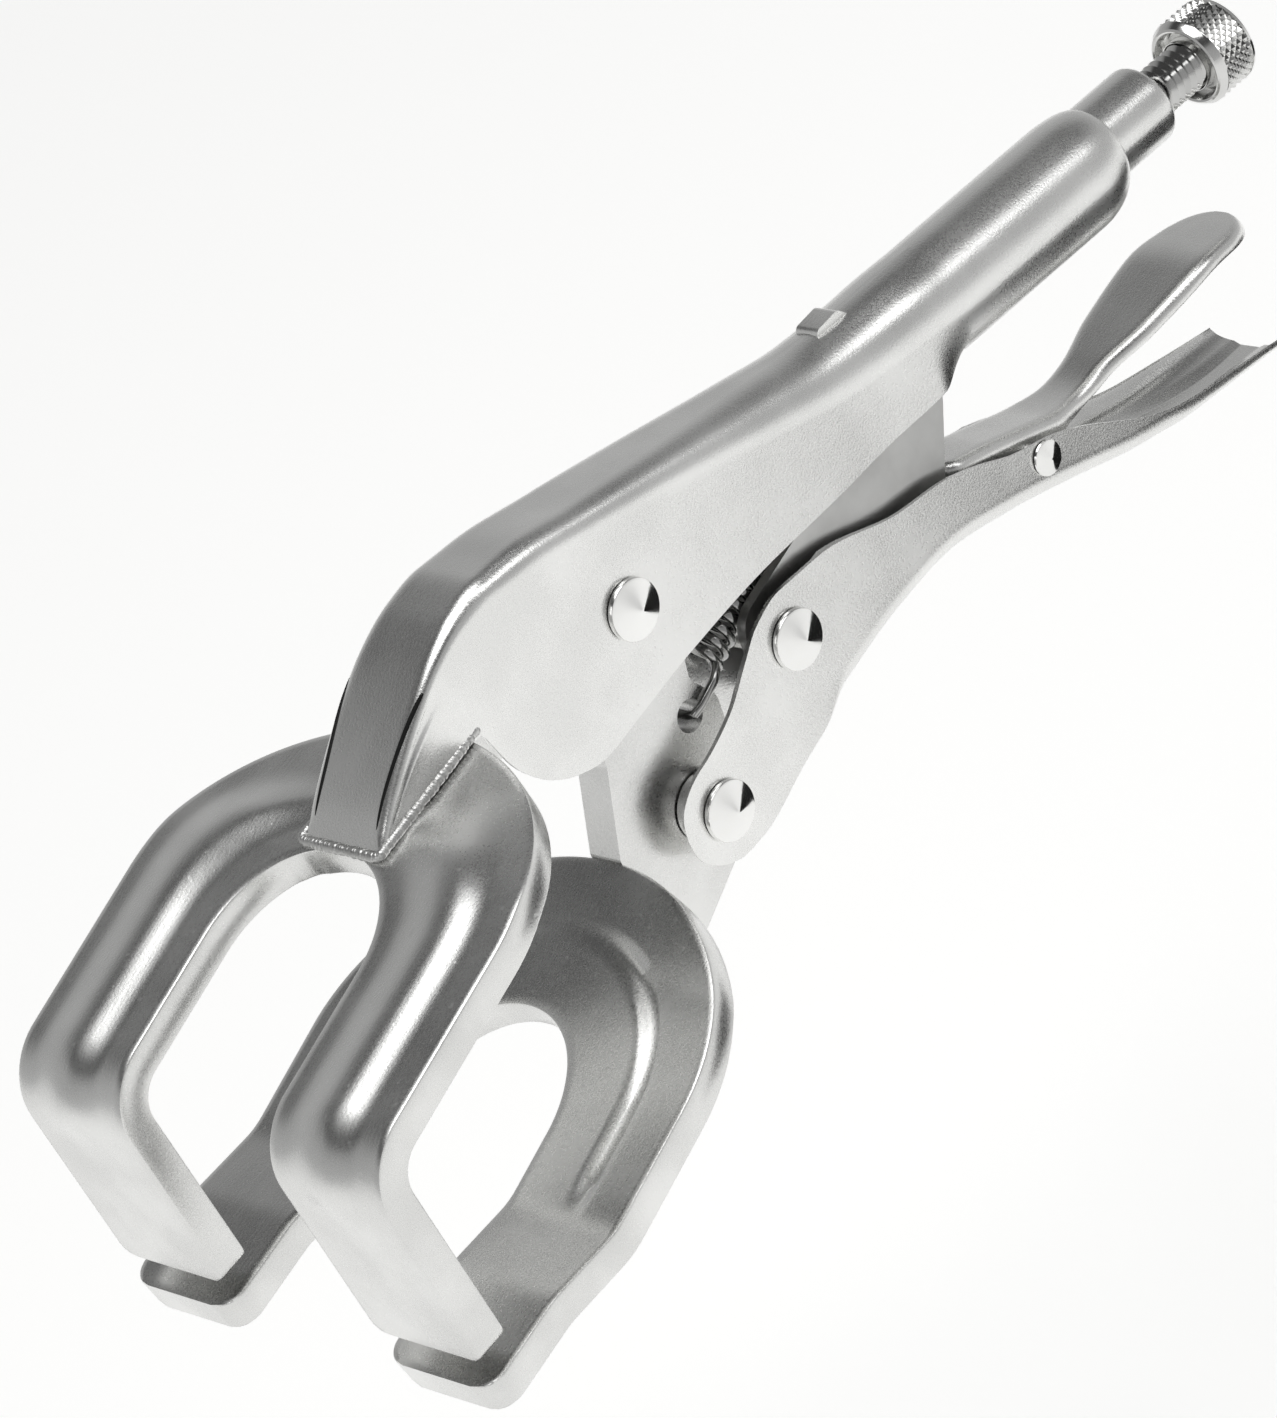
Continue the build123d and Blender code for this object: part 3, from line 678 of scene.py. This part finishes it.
# ---- the forks ----
def build_fork(name, body, node, path_corners, back_u, semi_u, slot_u, slot_radius, half_width,
               bead_height, tip_radius):
    """A forked plate swept along its folded side view, with a bead or a groove pressed in each tine."""
    read, total = measured_path(path_corners)
    tine = half_width - slot_radius
    stations = np.linspace(0.0, total, 400)
    us = np.array([read(s)[0].x for s in stations])
    flat_end = int(np.argmin(us))

    def length_at(u):
        return float(np.interp(-u, -us[:flat_end], stations[:flat_end]))

    slot_start, back_start = length_at(slot_u), length_at(back_u - semi_u)
    slot_crown = length_at(slot_u + slot_radius)

    def rail(centre_start, crown, half):
        ring = [(slot_start, half)] if slot_start > centre_start else []
        for a in np.linspace(0.0, math.pi, 121):
            ring.append((centre_start - (centre_start - crown) * math.sin(a), half * math.cos(a)))
        ring += [(slot_start, -half)] if slot_start > centre_start else []
        ring = np.array(ring)
        steps = np.concatenate([[0.0], np.cumsum(np.hypot(*np.diff(ring, axis=0).T))])

        def read_rail(share):
            reached = share * steps[-1]
            return float(np.interp(reached, steps, ring[:, 0])), float(np.interp(reached, steps, ring[:, 1]))

        return read_rail

    # Round the back, a row joins the outer rim to the slot's rim at equal shares of their lengths.
    outer = rail(back_start, 0.0, half_width)
    inner = rail(slot_start, slot_crown, slot_radius)
    # Along a tine, a row is given by its distance from the tip.
    straight = np.concatenate([
        np.linspace(0.0, tip_radius, 12), np.arange(tip_radius + 1.0, total - slot_start - 0.5, 1.0)])
    rows = []
    for side in (1, -1):
        leg = [(total - d, d) for d in straight]
        leg_rows = [((s, side * half_width), (s, side * slot_radius), d) for s, d in leg]
        rows.append(leg_rows if side == 1 else list(reversed(leg_rows)))
    curve = [(outer(f), inner(f), math.inf) for f in np.linspace(0.0, 1.0, 121)]
    rows = rows[0] + curve + rows[1]
    # Across a tine, both edges are eased off by a small drop.
    edge = 0.45
    rim = [0.0, edge * 0.3, edge]
    lateral = rim + list(np.arange(1.2, tine - 1.0, 0.8)) + [tine - x for x in reversed(rim)]
    drops = [edge, edge * 0.3, 0.0] + [0.0] * (len(lateral) - 6) + [0.0, edge * 0.3, edge]
    points = []
    for (outer_place, inner_place, from_tip) in rows:
        inset = 0.0
        if from_tip < tip_radius:
            inset = tip_radius - math.sqrt(max(tip_radius**2 - (tip_radius - from_tip) ** 2, 0.0))
        section = []
        for x, drop in zip(lateral, drops):
            t = inset / tine + (x / tine) * (1.0 - 2.0 * inset / tine)
            s = outer_place[0] + (inner_place[0] - outer_place[0]) * t
            y = outer_place[1] + (inner_place[1] - outer_place[1]) * t
            # A bead stands on the tine's middle line, and a groove a little nearer the outer rim.
            middle = x - tine * (0.5 if bead_height > 0 else 0.4)
            point, _ = read(s)
            along = -point.x + back_u
            begun = ease(slot_crown * 0.45, slot_crown * 0.95, s)
            ended = ease(total - 34.0, total - 24.0, s)
            if bead_height < 0:
                begun = ease(semi_u * 0.25, semi_u * 0.5, along)
                ended = ease(semi_u * 1.2, semi_u * 1.55, along)
            reach = begun * (1.0 - ended)
            # One flank of a bead or groove is steeper than the other.
            soft, crisp = ((0.3, 8.6), (0.6, 6.6)) if bead_height > 0 else ((0.1, 0.9), (0.2, 3.2))
            near_side = middle * (1.0 if y > 0 else -1.0) > 0 if bead_height > 0 else middle > 0
            bead = bead_height * reach * (1.0 - ease(*(crisp if near_side else soft), abs(middle)))
            section.append((s, y, bead - drop))
        under = [(s, y, -FORK_PLATE + drop) for (s, y, _), drop in zip(reversed(section), reversed(drops))]
        for s, y, height in section + under:
            point, normal = read(s)
            place = point + normal * height
            points.append(at(place.x, place.y, y))
    columns = len(lateral) * 2
    faces = rows_to_faces(len(rows), columns, loop_columns=True)
    half = len(lateral)
    for end in (0, (len(rows) - 1) * columns):
        for k in range(half - 1):
            faces.append((end + k, end + k + 1, end + columns - 2 - k, end + columns - 1 - k))
    piece = new_piece(name, mesh_of(name, points, faces), plated("forged_plate"), 42.0)
    stands_for(piece, body, "plated_plate", node)


def build_upper_fork():
    """The fork on the handle's nose, folded down at its tips."""
    path = [(-33.2, 0.4, 0.0), (-58.0, -4.7, 30.0), (-100.2, -20.6, 11.0), (-94.7, -58.4, 0.0)]
    build_fork("upper_fork", "handle", "upper_fork_jaw", path, -33.2, 33.0, -73.0, 16.5, 40.0,
               settings().bead_height / MM, 2.5)


def build_lower_fork():
    """The fork on the shank, with its two pads."""
    path = [
        (-15.6, -35.8, 0.0), (-31.0, -43.0, 40.0), (-48.0, -49.5, 50.0), (-66.0, -57.0, 12.0),
        (-80.0, -58.2, 14.0), (-96.0, -62.5, 0.0),
    ]
    build_fork("lower_fork", "lower_jaw", "lower_fork_jaw", path, -15.6, 33.0, -55.5, 17.0, 40.0,
               -settings().groove_depth / MM, 4.0)


# ---- the lower jaw's shank ----
def build_shank():
    """The plate that carries the lower fork."""
    outline = [
        (-9.8, 0.0, 9.0), (-9.8, 9.8, 9.8), (9.8, 9.8, 9.8), (9.8, -12.0, 3.0), (8.4, -19.6, 2.5),
        (12.0, -24.5, 3.5), (11.0, -38.0, 8.0), (5.0, -48.4, 6.0), (-6.9, -55.6, 8.0), (-15.5, -57.4, 5.0),
        (-38.0, -51.0, 2.0), (-36.0, -48.5, 0.5), (-15.6, -40.8, 0.5), (-15.6, -35.4, 0.8),
        (-11.3, -21.5, 4.0),
    ]
    holes = [(0.0, 0.0, 3.05), (6.0, -24.4, 2.6), (LEVER_PIVOT[0], LEVER_PIVOT[1], 3.05)]
    piece = plate("shank_plate", outline, holes, -SHANK_HALF, SHANK_HALF, plated("forged_plate"), 0.5)
    stands_for(piece, "lower_jaw", "plated_plate", "lower_jaw_shank")


# ---- the levers ----
WEB_START = 28.0        # where the ears end and the lever's web begins
LEVER_TOP = [
    (-6.7, -37.8), (-6.3, -34.9), (-4.7, -32.3), (-1.1, -29.9), (2.7, -28.6), (9.3, -25.3), (15.4, -20.2),
    (19.5, -16.9), (26.0, -14.7), (35.0, -14.7), (52.3, -18.6), (61.3, -19.4), (69.0, -21.5), (77.0, -24.6),
    (84.5, -26.3), (91.0, -28.8), (96.4, -31.7), (104.0, -35.7), (112.0, -38.4), (124.0, -40.4),
    (136.0, -42.2),
]
LEVER_LOW = [
    (-6.7, -37.8), (-6.3, -40.7), (-4.7, -43.3), (-1.3, -45.6), (1.8, -46.4), (6.6, -45.9), (18.8, -41.0),
    (33.0, -36.3), (46.6, -32.9), (59.3, -31.4), (72.9, -33.3), (88.3, -36.9), (101.5, -40.5), (113.5, -43.2),
    (126.0, -44.5), (136.0, -45.0),
]


def channel_section(half, sweep, corner, wall, arc_steps, wall_steps):
    """The (y, height) points of a channel from rim to rim, with its web at height 0."""
    column = [((half - sweep) * k / 5, 0.0) for k in range(5)]
    for k in range(arc_steps + 1):
        a = math.pi / 2 * k / arc_steps
        column.append((half - sweep * (1 - math.sin(a)), corner * (1 - math.cos(a))))
    column += [(half, corner + wall * k / wall_steps) for k in range(1, wall_steps + 1)]
    return [(-y, height) for y, height in reversed(column)] + column[1:]


def lever_column(u):
    """The (y, v) points of one crosswise section of the lever."""
    top, low = through(LEVER_TOP, u), through(LEVER_LOW, u)
    height = top - low
    width = HALF_WIDTH - 0.9 * ease(104.0, 136.0, u)
    corner = min(0.2 + 3.4 * ease(24.0, 32.0, u) + 2.4 * ease(95.0, 125.0, u), height * 0.9)
    sweep = corner + 3.0 * ease(98.0, 130.0, u)
    section = channel_section(width, sweep, corner, height - corner, 7, 9)
    return [(y, low + up) for y, up in section]


def build_lever():
    """The lower handle: two ears, a channel and a shallow tail."""
    places = [-6.7 + 4.0 * (1.0 - math.cos(a)) for a in np.linspace(0.12, math.pi / 2, 12)]
    places += list(np.arange(-2.0, 34.0, 1.0)) + list(np.arange(34.0, 136.5, 2.0)) + [136.0]
    columns = [lever_column(float(u)) for u in places]
    count = len(columns[0])
    middle = count // 2
    points = [at(float(u), v, y) for u, column in zip(places, columns) for y, v in column]

    def has_web(i, j):
        off_middle = abs(j + 0.5 - middle)
        return places[i] >= WEB_START - 0.12 * off_middle**2 or off_middle > 11.5

    mesh = mesh_of("lever_shell", points, rows_to_faces(len(places), count, keep=has_web))
    piece = new_piece("lever_shell", mesh, plated("pressed_sheet"), 35.0)
    wall = (HALF_WIDTH - 0.3) * MM
    face_outwards(mesh, lambda face: (
        face.normal.y * face.center.y if abs(face.center.y) > wall else None))
    thicken(piece, SHEET, 0.35)
    piece.name = "lever_channel"
    stands_for(piece, "lever", "plated_sheet", "lever")


def build_release_lever():
    """The pressed strip that lets the jaws go."""
    read, total = measured_path([
        (66.5, -20.2, 0.0), (75.0, -22.0, 30.0), (90.0, -26.2, 25.0), (97.0, -26.9, 25.0),
        (104.0, -25.4, 40.0), (127.0, -21.2, 25.0), (140.0, -22.0, 0.0),
    ])
    halves = [
        (0.0, 5.2), (3.0, 5.8), (24.0, 5.8), (31.0, 4.9), (36.0, 5.0), (46.0, 7.2), (60.0, 8.5), (70.0, 7.6),
    ]
    rims = [
        (0.0, 1.6), (5.0, 2.2), (8.0, 5.0), (13.0, 6.6), (20.0, 6.4), (26.0, 2.6), (34.0, 2.0), (74.0, 2.2),
    ]
    corner, round_end, start_taper = 1.9, 7.0, 2.0
    end = total - round_end
    stations = list(np.arange(0.0, end, 1.0))
    stations += [total - round_end * (1.0 - math.sin(a)) for a in np.linspace(0.0, math.pi / 2 - 0.16, 14)]
    points = []
    for s in stations:
        half = through(halves, s)
        if s > end:
            half *= 0.25 + 0.75 * math.sqrt(max(0.0, 1.0 - ((s - end) / round_end) ** 2))
        if s < start_taper:
            half -= 1.2 * (1.0 - s / start_taper) ** 2
        wall = max(through(rims, s) - corner, 0.1)
        section = channel_section(half, corner, corner, wall, 6, 5)
        point, normal = read(s)
        for y, depth in section:
            place = point + normal * depth
            points.append(at(place.x, place.y, y))
    count = len(section)
    mesh = mesh_of("release_shell", points, rows_to_faces(len(stations), count))
    web = 3.0 * MM
    face_outwards(mesh, lambda face: face.normal.dot(ABOVE) if abs(face.center.y) < web else None)
    piece = new_piece("release_paddle", mesh, plated("pressed_sheet"), 35.0)
    thicken(piece, 1.7, 0.3)
    stands_for(piece, "release_lever", "plated_sheet", "release_lever")


# ---- what is turned or wound ----
def rivet_profile(radius, head_radius, head, cone):
    """Half of a rivet's outline from the end of its shank outwards."""
    reach = HALF_WIDTH
    return [
        (reach - 0.6, radius), (reach + 0.2, radius + 0.1), (reach + 0.2, head_radius - 0.15),
        (reach + 0.35, head_radius), (reach + head - 0.35, head_radius),
        (reach + head - 0.1, head_radius - 0.12), (reach + head, head_radius - 0.4),
        (reach + head + 0.05, head_radius - 0.75), (reach + head + cone * 0.95, 0.35),
        (reach + head + cone, 0.0),
    ]


def build_rivets():
    """The three pivot rivets and the release lever's pin."""
    large, small = (3.0, 4.8, 1.2, 1.5), (1.6, 2.9, 0.7, 0.7)
    for name, body, node, (u, v), sizes in (
        ("jaw_rivet", "handle", "jaw_pivot_rivet", (0.0, 0.0), large),
        ("lever_rivet", "lever", "lever_pivot_rivet", LEVER_PIVOT, large),
        ("link_rivet", "lever", "link_pivot_rivet", LINK_PIVOT, large),
        ("release_pin", "lever", "release_lever_pin", RELEASE_PIVOT, small),
    ):
        half = rivet_profile(*sizes)
        profile = [(-x, r) for x, r in reversed(half)] + half
        piece = turned(name, profile, at(u, v), ACROSS, plated("rivet"), 64, 30.0)
        stands_for(piece, body, "rivet_steel", node)


def build_screw():
    """The adjusting screw with its wound thread."""
    material = plated("screw")
    outline = [(0.0, 0.0), (0.0, 2.8), (0.8, 3.2), (71.0, 3.2), (71.0, 0.0)]
    core = turned("core", outline, at(76.5, SCREW_V), ALONG, material, 48)
    thread = grow("thread", tree_named("coil"), {
        "Radius": 3.3 * MM, "Height": 69.0 * MM, "Turns": settings().thread_turns,
        "Wire Radius": 0.82 * MM, "Wire Sides": 4, "Material": material,
    }, facing(ALONG, at(77.5, SCREW_V)))
    piece = joined("screw_thread", [core, thread], material, 25.0)
    stands_for(piece, "screw", "screw_steel", "adjusting_screw")


def build_knob():
    """The knurled knob, dished towards the thread."""
    material = plated("knurl")
    body = turned("knob_body", [
        (0.0, 4.3), (0.0, 4.4), (1.6, 4.6), (1.9, 5.1), (1.5, 5.6), (0.15, 6.1), (0.0, 6.4), (0.2, 6.75),
        (1.2, 7.4), (1.5, 7.45), (1.7, 7.05), (7.6, 7.05), (7.8, 7.45), (8.4, 7.3), (9.0, 6.6), (9.0, 0.0),
        (4.0, 0.0), (3.9, 4.2),
    ], at(143.0, SCREW_V), ALONG, material, 96, 30.0)
    turn = facing(ALONG, at(144.9, SCREW_V)) @ Matrix.Rotation(-math.pi / 2, 4, "Y")
    studs = grow("studs", tree_named("knurl"), {
        "Radius": 7.0 * MM, "Length": 5.6 * MM, "Around": settings().knurl_around,
        "Rows": settings().knurl_rows, "Stud Size": 0.78 * MM,
        "Stud Height": 0.55 * MM, "Material": material,
    }, turn)
    piece = joined("knob_knurled", [body, studs], material, 25.0)
    stands_for(piece, "knob", "knurled_steel", "knurled_knob")


def tube(name, places, radius, material, sides=16):
    """A round wire through places given in metres."""
    points = []
    normal = None
    for i, place in enumerate(places):
        way = (places[min(i + 1, len(places) - 1)] - places[max(i - 1, 0)]).normalized()
        normal = way.orthogonal() if normal is None else normal - way * normal.dot(way)
        normal.normalize()
        side = way.cross(normal)
        for k in range(sides):
            a = 2.0 * math.pi * k / sides
            points.append(place + (normal * math.cos(a) + side * math.sin(a)) * radius * MM)
    faces = rows_to_faces(len(places), sides, loop_columns=True)
    faces += [tuple(range(sides)), tuple(range(len(points) - sides, len(points)))]
    return new_piece(name, mesh_of(name, points, faces), material, 40.0)


def build_spring():
    """The coil between the shank's hole and the handle's anchor, with both hooks."""
    material = plated("spring")
    hole, anchor = Vector((6.0, -24.4)), Vector((56.0, -1.5))
    run = anchor - hole
    way = run.normalized()
    hook_reach, wire, coil_radius = 9.0, 0.75, 2.55
    first, last = hole + way * hook_reach, anchor - way * hook_reach
    coil = grow("coils", tree_named("coil"), {
        "Radius": coil_radius * MM, "Height": (last - first).length * MM,
        "Turns": settings().spring_turns, "Wire Radius": wire * MM,
        "Wire Sides": 14, "Material": material,
    }, facing(at(last.x, last.y) - at(first.x, first.y), at(first.x, first.y)))
    out = SHANK_HALF + wire + 0.3
    jaw_hook = [
        (hook_reach, -coil_radius), (8.0, -3.6), (6.0, -out), (2.0, -out), (0.4, 0.3 - out),
        (0.0, 1.6 - out), (0.0, out),
    ]
    anchor_hook = [
        (hook_reach, coil_radius), (7.6, 2.0), (5.0, 1.9), (1.4, 1.9), (0.3, 1.5), (0.0, 0.4), (0.0, -1.9),
    ]
    places = [at(hole.x + way.x * s, hole.y + way.y * s, y) for s, y in jaw_hook]
    others = [at(anchor.x - way.x * s, anchor.y - way.y * s, y) for s, y in anchor_hook]
    hooks = [tube("jaw_hook", places, wire, material), tube("anchor_hook", others, wire, material)]
    piece = joined("return_coil", [coil] + hooks, material, 40.0)
    at(anchor.x, anchor.y)
    at(hole.x, hole.y)
    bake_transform(piece)
    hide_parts("return_spring")


def build_welds():
    """The welds between the handle and its fork, and under the shank's fork."""
    seams = [
        ("upper_weld", "handle", "upper_jaw_weld", 0.85, [[
            (-33.0, 1.4, -7.9), (-40.0, -0.1, -8.3), (-48.0, -1.8, -8.5), (-56.4, -3.7, -8.5),
            (-56.8, -3.9, -7.8), (-56.8, -3.9, 7.8), (-56.4, -3.7, 8.5), (-48.0, -1.8, 8.5),
            (-33.0, 1.4, 7.9)]]),
        ("lower_weld", "lower_jaw", "lower_jaw_weld", 1.0, [
            [(-17.5, -42.2, 3.5 * side), (-24.0, -45.4, 3.6 * side), (-31.0, -48.7, 3.6 * side),
             (-34.0, -49.8, 3.5 * side)] for side in (-1, 1)]),
    ]
    for seed, (name, body, node, radius, runs) in enumerate(seams):
        mesh = bpy.data.meshes.new(name + "_seam")
        spots, edges = [], []
        for run in runs:
            edges += [(len(spots) + k, len(spots) + k + 1) for k in range(len(run) - 1)]
            spots += [tuple(at(*place)) for place in run]
        mesh.from_pydata(spots, edges, [])
        seam = linked(name + "_seam", mesh)
        piece = grow(name, tree_named("ripples"), {
            "Path": seam, "Spacing": settings().ripple_spacing, "Bead Radius": radius * MM, "Seed": 7 + seed,
            "Material": plated("weld"),
        })
        bpy.data.objects.remove(seam)
        stands_for(piece, body, "weld_metal", node)


def build_carried():
    """Gives the packed nodes that stay visible their finish."""
    for node, finish in (
        ("adjusting_nut", "turned_bar"), ("jaw_pivot_spacers", "turned_bar"),
        ("lever_pivot_spacers", "turned_bar"), ("toggle_link", "link"),
    ):
        for held in frame["nodes"][node].material_slots:
            held.material = plated(finish)


# ---- the stage ----
FLOOR_HEIGHT = -0.16


def area_light(name, place, target, width, height, power):
    """A soft box that faces a target."""
    data = bpy.data.lights.new(name, "AREA")
    data.shape = "RECTANGLE"
    data.size, data.size_y, data.energy = width, height, power
    light = linked(name, data)
    light.matrix_world = facing(Vector(place) - Vector(target), place, up=Vector((0.0, 0.0, 1.0)))


def build_camera():
    """A long lens that looks down on the near side from beyond the jaws, rolled on its axis."""
    back = Vector((-0.50, -0.72, 0.48)).normalized()
    flat = (Vector((1.0, 0.0, 0.0)) - back * back.x).normalized()
    rise = back.cross(flat)
    roll = math.radians(41.4)
    right = flat * math.cos(roll) - rise * math.sin(roll)
    up = flat * math.sin(roll) + rise * math.cos(roll)
    distance = 1050.0
    rivet_head = Vector((0.0, -9.8, 0.0))
    eye = rivet_head + right * 0.22 - up * 14.35 + back * distance

    def in_model(way):
        return ALONG * way.x + ACROSS * way.y + ABOVE * way.z

    data = bpy.data.cameras.new("view")
    data.sensor_fit = "VERTICAL"
    data.sensor_height = 36.0
    data.lens = 183.94
    camera = linked("view", data)
    axes = Matrix((in_model(right), in_model(up), in_model(back))).transposed().to_4x4()
    camera.matrix_world = Matrix.Translation(PIVOT + in_model(eye) * MM) @ axes
    bpy.context.scene.camera = camera


def build_floor():
    """The floor, and a dark card just above it for the metal to reflect, hidden from the camera."""
    bpy.ops.mesh.primitive_plane_add(size=30.0, location=(0.0, 0.0, FLOOR_HEIGHT))
    floor = bpy.context.object
    floor.name = "floor"
    material = bpy.data.materials.new("floor")
    start = emptied(material)
    tint = settings().floor_tint
    place = start.make("ShaderNodeTexCoord", output="Object")
    noise = start.make("ShaderNodeTexNoise", {"Vector": place, "Scale": 3.0})
    shader = start.make("ShaderNodeBsdfPrincipled", {
        "Base Color": noise.blend(toned(0.80, tint), toned(0.82, tint)), "Roughness": 0.9,
        "Emission Color": (1.0, 1.0, 1.0, 1.0), "Emission Strength": 0.45,
    })
    start.make("ShaderNodeOutputMaterial", {"Surface": shader})
    floor.data.materials.append(material)
    bpy.ops.mesh.primitive_plane_add(size=1.0, location=(0.34, -0.13, FLOOR_HEIGHT + 0.005))
    card = bpy.context.object
    card.name = "dark_card"
    card.scale = (0.34, 0.26, 1.0)
    card.data.materials.append(plating("card", 0.03, 0.02, 0.8))
    card.visible_camera = False
    card.visible_shadow = False


def build_sky():
    """A sky whose brightness changes with height, with a dark band between two bright ones."""
    world = bpy.data.worlds.new("studio")
    bpy.context.scene.world = world
    start = emptied(world)
    way = start.make("ShaderNodeTexCoord", output="Generated")
    z = start.make("ShaderNodeSeparateXYZ", {"Vector": way}, output=2)
    shade = start.make("ShaderNodeValToRGB", {"Fac": z})
    ramp = shade.socket.node.color_ramp
    stops = [
        (0.0, 0.95), (0.2, 0.85), (0.38, 0.8), (0.54, 0.6),
        (0.66, 0.14), (0.84, 0.12), (0.93, 0.8), (1.0, 1.0),
    ]
    while len(ramp.elements) < len(stops):
        ramp.elements.new(0.5)
    for element, (place, brightness) in zip(ramp.elements, stops):
        element.position = place
        element.color = (brightness, brightness, brightness, 1.0)
    sky = start.make("ShaderNodeBackground", {"Color": shade, "Strength": 0.55})
    start.make("ShaderNodeOutputWorld", {"Surface": sky})


def build_lights():
    """A soft box overhead and one at each side."""
    middle = (0.0, 0.0, 0.04)
    area_light("overhead", (0.1, -0.1, 1.6), middle, 1.1, 1.1, 11.0)
    area_light("front_right", (1.0, -1.0, 1.5), middle, 0.5, 1.0, 4.0)
    area_light("front_left", (-1.4, -0.5, 0.9), middle, 0.5, 0.7, 2.0)
    bpy.context.scene.view_settings.view_transform = "Standard"


# ---- the add-on ----
def length_setting(name, description, default):
    """A small length in metres."""
    return bpy.props.FloatProperty(
        name=name, description=description, default=default, min=0.0, unit="LENGTH", precision=5)


def tint_setting(name, description):
    """A colour, a touch warm at first."""
    return bpy.props.FloatVectorProperty(
        name=name, description=description, default=(1.0, 1.0, 0.985), min=0.0, max=1.0, subtype="COLOR")


class PliersSettings(bpy.types.PropertyGroup):
    """The sizes and colours of the pliers that a user may change."""

    bead_height: length_setting("Bead Height", "How far the beads stand up on the upper fork", 0.00125)
    groove_depth: length_setting("Groove Depth", "How deep the crescents are in the lower fork", 0.0012)
    ripple_spacing: length_setting("Ripple Spacing", "Distance between the drops of a weld", 0.0004)
    spring_turns: bpy.props.FloatProperty(
        name="Spring Turns", description="Turns of the return spring", default=17.0, min=1.0)
    thread_turns: bpy.props.FloatProperty(
        name="Thread Turns", description="Turns of the adjusting screw's thread", default=46.0, min=1.0)
    knurl_around: bpy.props.IntProperty(
        name="Knurl Around", description="Studs in one ring of the knurl", default=32, min=3)
    knurl_rows: bpy.props.IntProperty(
        name="Knurl Rows", description="Rings of studs along the knob", default=9, min=2)
    metal_tint: tint_setting("Metal Tint", "Colour of the plating at full brightness")
    floor_tint: tint_setting("Floor Tint", "Colour of the floor at full brightness")


def operator(idname, label, text, builders):
    """An operator class that runs a few builders in turn."""
    def execute(self, context):
        for build in builders:
            build()
        return {"FINISHED"}

    return type("PLIERS_OT_" + idname, (bpy.types.Operator,), {
        "__doc__": text, "bl_idname": "pliers." + idname, "bl_label": label, "execute": execute,
        "bl_options": {"REGISTER", "UNDO"},
    })


OPERATORS = [
    operator("handle", "Build Handle", "Builds the pressed handle and its spring anchor", [build_handle]),
    operator("forks", "Build Forks", "Builds both forked jaws", [build_upper_fork, build_lower_fork]),
    operator("shank", "Build Shank", "Builds the plate that carries the lower jaw", [build_shank]),
    operator("levers", "Build Levers", "Builds the lever and the release lever", [
        build_lever, build_release_lever]),
    operator("rivets", "Build Rivets", "Builds the pivot rivets and the pin", [build_rivets]),
    operator("screw", "Build Screw", "Builds the adjusting screw and its knurled knob", [
        build_screw, build_knob]),
    operator("spring", "Build Spring", "Winds the return spring and bends its hooks", [build_spring]),
    operator("welds", "Build Welds", "Lays the two weld beads", [build_welds]),
    operator("carried", "Finish Carried Nodes", "Gives the packed nodes their finish", [build_carried]),
    operator("stage", "Build Stage", "Sets up the camera, the floor, the sky and the lights", [
        build_camera, build_floor, build_sky, build_lights]),
]


class PLIERS_PT_panel(bpy.types.Panel):
    """The sizes and the buttons of the pliers, in the sidebar."""

    bl_label = "Forked Locking Pliers"
    bl_idname = "PLIERS_PT_panel"
    bl_space_type = "VIEW_3D"
    bl_region_type = "UI"
    bl_category = "Pliers"

    def draw(self, context):
        for key in PliersSettings.__annotations__:
            self.layout.prop(context.scene.pliers, key)
        for kind in OPERATORS:
            self.layout.operator(kind.bl_idname)


CLASSES = [PliersSettings, *OPERATORS, PLIERS_PT_panel]


def register():
    for kind in CLASSES:
        bpy.utils.register_class(kind)
    bpy.types.Scene.pliers = bpy.props.PointerProperty(type=PliersSettings)


def unregister():
    del bpy.types.Scene.pliers
    for kind in reversed(CLASSES):
        bpy.utils.unregister_class(kind)


def main():
    register()
    for kind in OPERATORS:
        step = kind.bl_idname.split(".")[1]
        if getattr(bpy.ops.pliers, step)() != {"FINISHED"}:
            raise RuntimeError("the step " + step + " did not finish")


if __name__ == "__main__":
    main()
